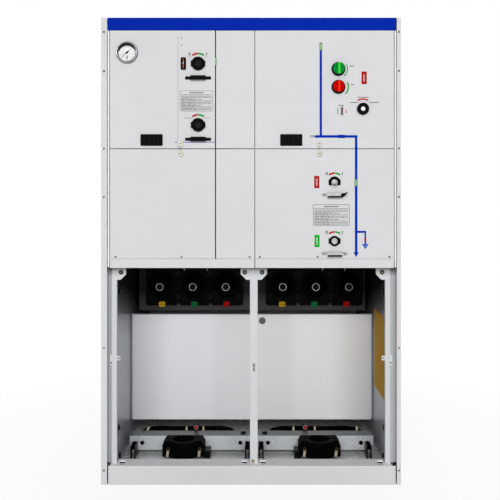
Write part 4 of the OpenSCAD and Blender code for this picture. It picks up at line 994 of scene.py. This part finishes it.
# the right guides' lips over the panel; the upper one is open below, over a bright rim and the shaft's notch
# arcs give the middle, radius, width, start and end
guideLips = {"earth": [(239.0, 697.0, 12.1, 6.2, 0, 180), (239.0, 697.0, 12.1, 6.2, 180, 360)],
             "switch": [(239.0, 865.0, 13.0, 8.0, -36, 216)]}
lipRim = {"arc": (239.0, 864.0, 12.6, 6.0, 224, 316), "face": -0.4135, "thick": 0.0004}
shaftNotch = {"arc": (239.0, 864.4, 5.4, 2.4, 200, 340), "face": -0.4132}
for name, arcs in guideLips.items():
    lip = [arcBand(*arc, 20) for arc in arcs]
    printShape(lip, lipRim["face"], "right_" + name + "_guide_lip", mouldedBlack, lipRim["thick"])
printShape([arcBand(*lipRim["arc"])], lipRim["face"], "right_switch_guide_rim", brightSteel, lipRim["thick"])
notch = arcBand(*shaftNotch["arc"])
printShape([notch], shaftNotch["face"], "right_switch_shaft_notch", mouldedBlack, thinInk, "right_switch_shaft")
print("indicators dressed")

# bolts, pins, studs, liners and caps in the compartments, in the same columns as the front rows; the black bore liners
# are partly painted shade
bushings = {"middles": (-0.2005, 0.2165), "steps": (-0.112, 0.0, 0.112), "bolts": (-0.1525, -0.056, 0.056, 0.1525)}
boreXs = [middle + dx for middle in bushings["middles"] for dx in bushings["steps"]]
blockXs = [middle + dx for middle in bushings["middles"] for dx in bushings["bolts"]]
gussetXs = (-0.3755, -0.018, 0.032, 0.3785)
pinXs = (-0.2046, -0.135, 0.2175, 0.2856)
plugXs = (-0.182, 0.175)
bracket = {"xs": (-0.38, -0.0208, 0.0222, 0.3612), "width": 0.016, "leaf": 0.003, "front": -0.203, "web": -0.156,
           "back": -0.1512, "zs": (0.003, 0.043), "edge": 0.0005}
studXs = [x + bracket["width"] / 2 for x in bracket["xs"]]
boreShadeRings = [(0.0108, 0.001), (0.0094, 0.001), (0.0088, 0.0007)]
ferruleRings = [(0.0128, 0.0009), (0.0123, 0.0013), (0.0112, 0.0013), (0.0107, -0.0005)]
coverCap = [(0.0115, 0.0016), (0.0104, 0.0026), (0.0052, 0.0029), (0.0046, 0.0018)]
holeShade = [(0.0066, 0.001), (0.0056, 0.0014), (0.0042, 0.0012), (0.0038, -0.0004)]
plugRing = [(0.0074, 0.003), (0.0068, 0.0038), (0.0056, 0.0038), (0.0052, 0.0028)]
plugEye = [(0.005, 0.001), (0.0036, 0.002), (0.0016, 0.0023)]
innerRows = {
    "gusset_bolts": (blackBolt, hexBolt, (0.0054, 0.0042, 0.0066), gussetXs, -0.391, (0.606,)),
    "gusset_bolt_tips": (brass, discStack, ([(0.0023, 0.0012), (0.0016, 0.0018)], 16), gussetXs, -0.3943, (0.606,)),
    "centre_post_foot_bolt": (brass, hexBolt, (0.0042, 0.004, 0.0052), (0.0056,), -0.391, (0.0606,)),
    "ceiling_pins": (brass, threaded, (0.0024, 0.022, 0.0015), pinXs, -0.263, (0.6205,), "down"),
    "bushing_block_bolts": (mouldedBlack, socketBolt, (0.0115, 0.0085), blockXs, 0.062, (0.481, 0.559)),
    # black liners in the bores: partly a black insert, partly painted shade of the deep bores
    "bushing_bore_liners": (mouldedBlack, discStack, (boreShadeRings, 40), boreXs, -0.0085, (0.52,)),
    "bushing_ferrules": (contactMetal, discStack, (ferruleRings, 40), boreXs, -0.0083, (0.52,)),
    "cover_cap": (capGrey, discStack, (coverCap, 32), (0.035,), -0.013, (0.4065,)),
    "rail_top_bolts": (blackBolt, hexBolt, (0.0075, 0.0055, 0.0095), (-0.027, 0.042), -0.125, (0.061,), "up"),
    # black plugs in the rail's holes: partly grommets, partly painted shade of the dark behind them
    "rail_grommets": (mouldedBlack, discStack, (holeShade,), (-0.35, -0.036, 0.052, 0.35), -0.1512, (0.038,)),
    "rail_bracket_studs": (paleGrey, threaded, (0.0032, 0.027, 0.0022, (0.017, 0.023)), studXs, -0.192, (0.0032,),
                           "up"),
    "earth_bolts": (blackBolt, hexBolt, (0.0072, 0.006, 0.0088), (-0.14, 0.145), -0.199, (0.018,)),
    "plug_rings": (paleGrey, discStack, (plugRing, 28), plugXs, -0.09, (0.0695,)),
    "plug_eyes": (inkRed, discStack, (plugEye,), plugXs, -0.0928, (0.0695,)),
}
for name, row in innerRows.items():
    addRow(name, *row)

wallBolts = {"x": 0.409, "yz": ((-0.244, 0.534), (-0.248, 0.116), (-0.230, 0.024)), "size": (0.0075, 0.0052, 0.0095),
             "tipX": 0.4045, "tip": [(0.0034, 0.0018), (0.0024, 0.0026)]}
for name, side, way in (("left_wall", -1, "right"), ("right_wall", 1, "left")):
    places = [(side * wallBolts["x"], y, z) for y, z in wallBolts["yz"]]
    plant(hexBolt(*wallBolts["size"]), places, name + "_bolts", blackBolt, way)
    tips = [(side * wallBolts["tipX"], y, z) for y, z in wallBolts["yz"]]
    plant(discStack(wallBolts["tip"], 16), tips, name + "_bolt_tips", brass, way)

# blocks in rows: finish, middles and half width in X, limits in Y and in Z, width of the broken edges and its steps
slabRows = {
    "gap_plug": (paleGreen, (-0.1002,), 0.003, (-0.4146, -0.4128), (1.2, 1.2218), 0.0016, 3),
    "latch_plates": (labelFilm, (-0.40515, 0.40515), 0.00365, (-0.3845, -0.3829), (0.335, 0.366), 0.0007),
    "latch_strikers": (labelFilm, (-0.38325, 0.38325), 0.00475, (-0.3865, -0.38), (0.3505, 0.3635), 0.0009),
    "amber_sheet": (amberSheet, (0.40835,), 0.00055, (-0.333, -0.052), (0.198, 0.4536), 0.0003),
    "earth_bolt_lugs": (blackBolt, (-0.14, 0.145), 0.0105, (-0.199, -0.135), (0.003, 0.027), 0.0012),
    # painted shade: black sheets in the hook slots under the white tabs
    "hook_slot_mouths": (inkBlack, (-0.3715, -0.019, 0.035, 0.3715), 0.0075, (-0.3918, -0.3908), (0.0542, 0.0585),
                         0.0002),
    "plug_holders": (castResin, plugXs, 0.008, (-0.09, -0.074), (0.0445, 0.0775), 0.0015),
    "seal_wires": (screwZinc, (-0.201, 0.196), 0.0004, (-0.4186, -0.4178), (0.9545, 0.9675), 0.0002),
}
for name, row in slabRows.items():
    addSlabs(name, *row)
print("bolts and blocks placed")

# the screws of the door latches, and a catch in the centre post's slot
latch = {"screw": (0.0024, 0.0012), "screws": ((0.4050, -0.3845, 0.343), (0.383, -0.3865, 0.357)),
         "catchX": (0.0056, 0.0104),
         "catch": (((-0.3915, -0.3880), (0.3330, 0.3405)), ((-0.3912, -0.3880), (0.3215, 0.3290)))}
places = [(side * x, y, z) for x, y, z in latch["screws"] for side in (-1, 1)]
plant(panScrew(*latch["screw"]), places, "latch_screws", blackBolt)
gather([slab(latch["catchX"], ys, zs, 0.0006) for ys, zs in latch["catch"]], "centre_latch_catch", screwZinc)

# black marks on the phase tags, from each tag's middle
tagMarks = {"tones": ("yellow", "green", "red"), "face": 0.0590, "thick": 0.0003,
            "bars": [(-7.5, -3.2, 456.0, 458.4), (-0.5, 6.5, 455.0, 456.8), (-6.0, 1.0, 449.2, 451.4),
                     (3.4, 7.6, 447.6, 452.0)]}
for middle in bushings["middles"]:
    for tone, dx in zip(tagMarks["tones"], bushings["steps"]):
        name = tone + ("_left" if middle < 0 else "_right") + "_tag_marks"
        marks = barsAt(1000 * (middle + dx), 0, tagMarks["bars"])
        printShape(marks, tagMarks["face"], name, inkBlack, tagMarks["thick"])

# upright brackets in front of the rail, each of two leaves and a web
leaves = []
for start in bracket["xs"]:
    end = start + bracket["width"]
    for xs, front in (((start, start + bracket["leaf"]), bracket["front"]),
                      ((end - bracket["leaf"], end), bracket["front"]), ((start, end), bracket["web"])):
        leaves.append(slab(xs, (front, bracket["back"]), bracket["zs"], bracket["edge"]))
gather(leaves, "rail_brackets", blackBolt)

# clamp bolts lean a little in front of the ears, each under a darker nut
clamp = {"middles": (-0.213, 0.213), "reach": 0.049, "y": -0.2185, "z": 0.0165, "lean": math.radians(7),
         "stud": (0.0044, 0.0235, 0.0022), "nutAside": 0.0024, "nutUp": 0.0200,
         "nut": [(0.0078, 0.0052), (0.0066, 0.0066), (0.0040, 0.0068), (0.0034, 0.0098)]}


def leaning(model, places, turn):
    made = copiesAt(model, places)
    for piece in made:
        piece.rotation_euler = (0, turn, 0)
    return made


places = [(x, clamp["y"], clamp["z"]) for middle in clamp["middles"] for x in around(middle, clamp["reach"])]
gather(leaning(threaded(*clamp["stud"]), places, clamp["lean"]), "clamp_bolts", paleBrass)
places = [(x + clamp["nutAside"], y, z + clamp["nutUp"]) for x, y, z in places]
gather(leaning(discStack(clamp["nut"], 6), places, clamp["lean"]), "clamp_nuts", darkBrass)

# terminals on the cast bodies behind the rail, and a bare one that leans
terminal = {"xs": (-0.214, -0.159, 0.137, 0.207, 0.345), "y": -0.085, "z": 0.0445,
            "stud": (0.0032, 0.026, 0.0020, (0.004, 0.010)), "bare": (-0.350, -0.085, 0.0430),
            "bareStud": (0.0032, 0.030, 0.0020), "lean": math.radians(26)}
terminals = copiesAt(threaded(*terminal["stud"]), [(x, terminal["y"], terminal["z"]) for x in terminal["xs"]])
terminals += leaning(threaded(*terminal["bareStud"]), [terminal["bare"]], terminal["lean"])
gather(terminals, "terminal_studs", paleBrass)

# a dark bore in each seal post
sealBores = {"places": ((-0.201, -0.4214, 0.975), (-0.201, -0.4199, 0.947), (0.196, -0.4199, 0.975),
                        (0.196, -0.4199, 0.947)), "rings": [(0.0017, 0.0003), (0.0012, 0.0003), (0.0010, 0.0001)]}
plant(discStack(sealBores["rings"], 16), sealBores["places"], "seal_post_bores", inkBlack)
print("compartments and seals dressed")
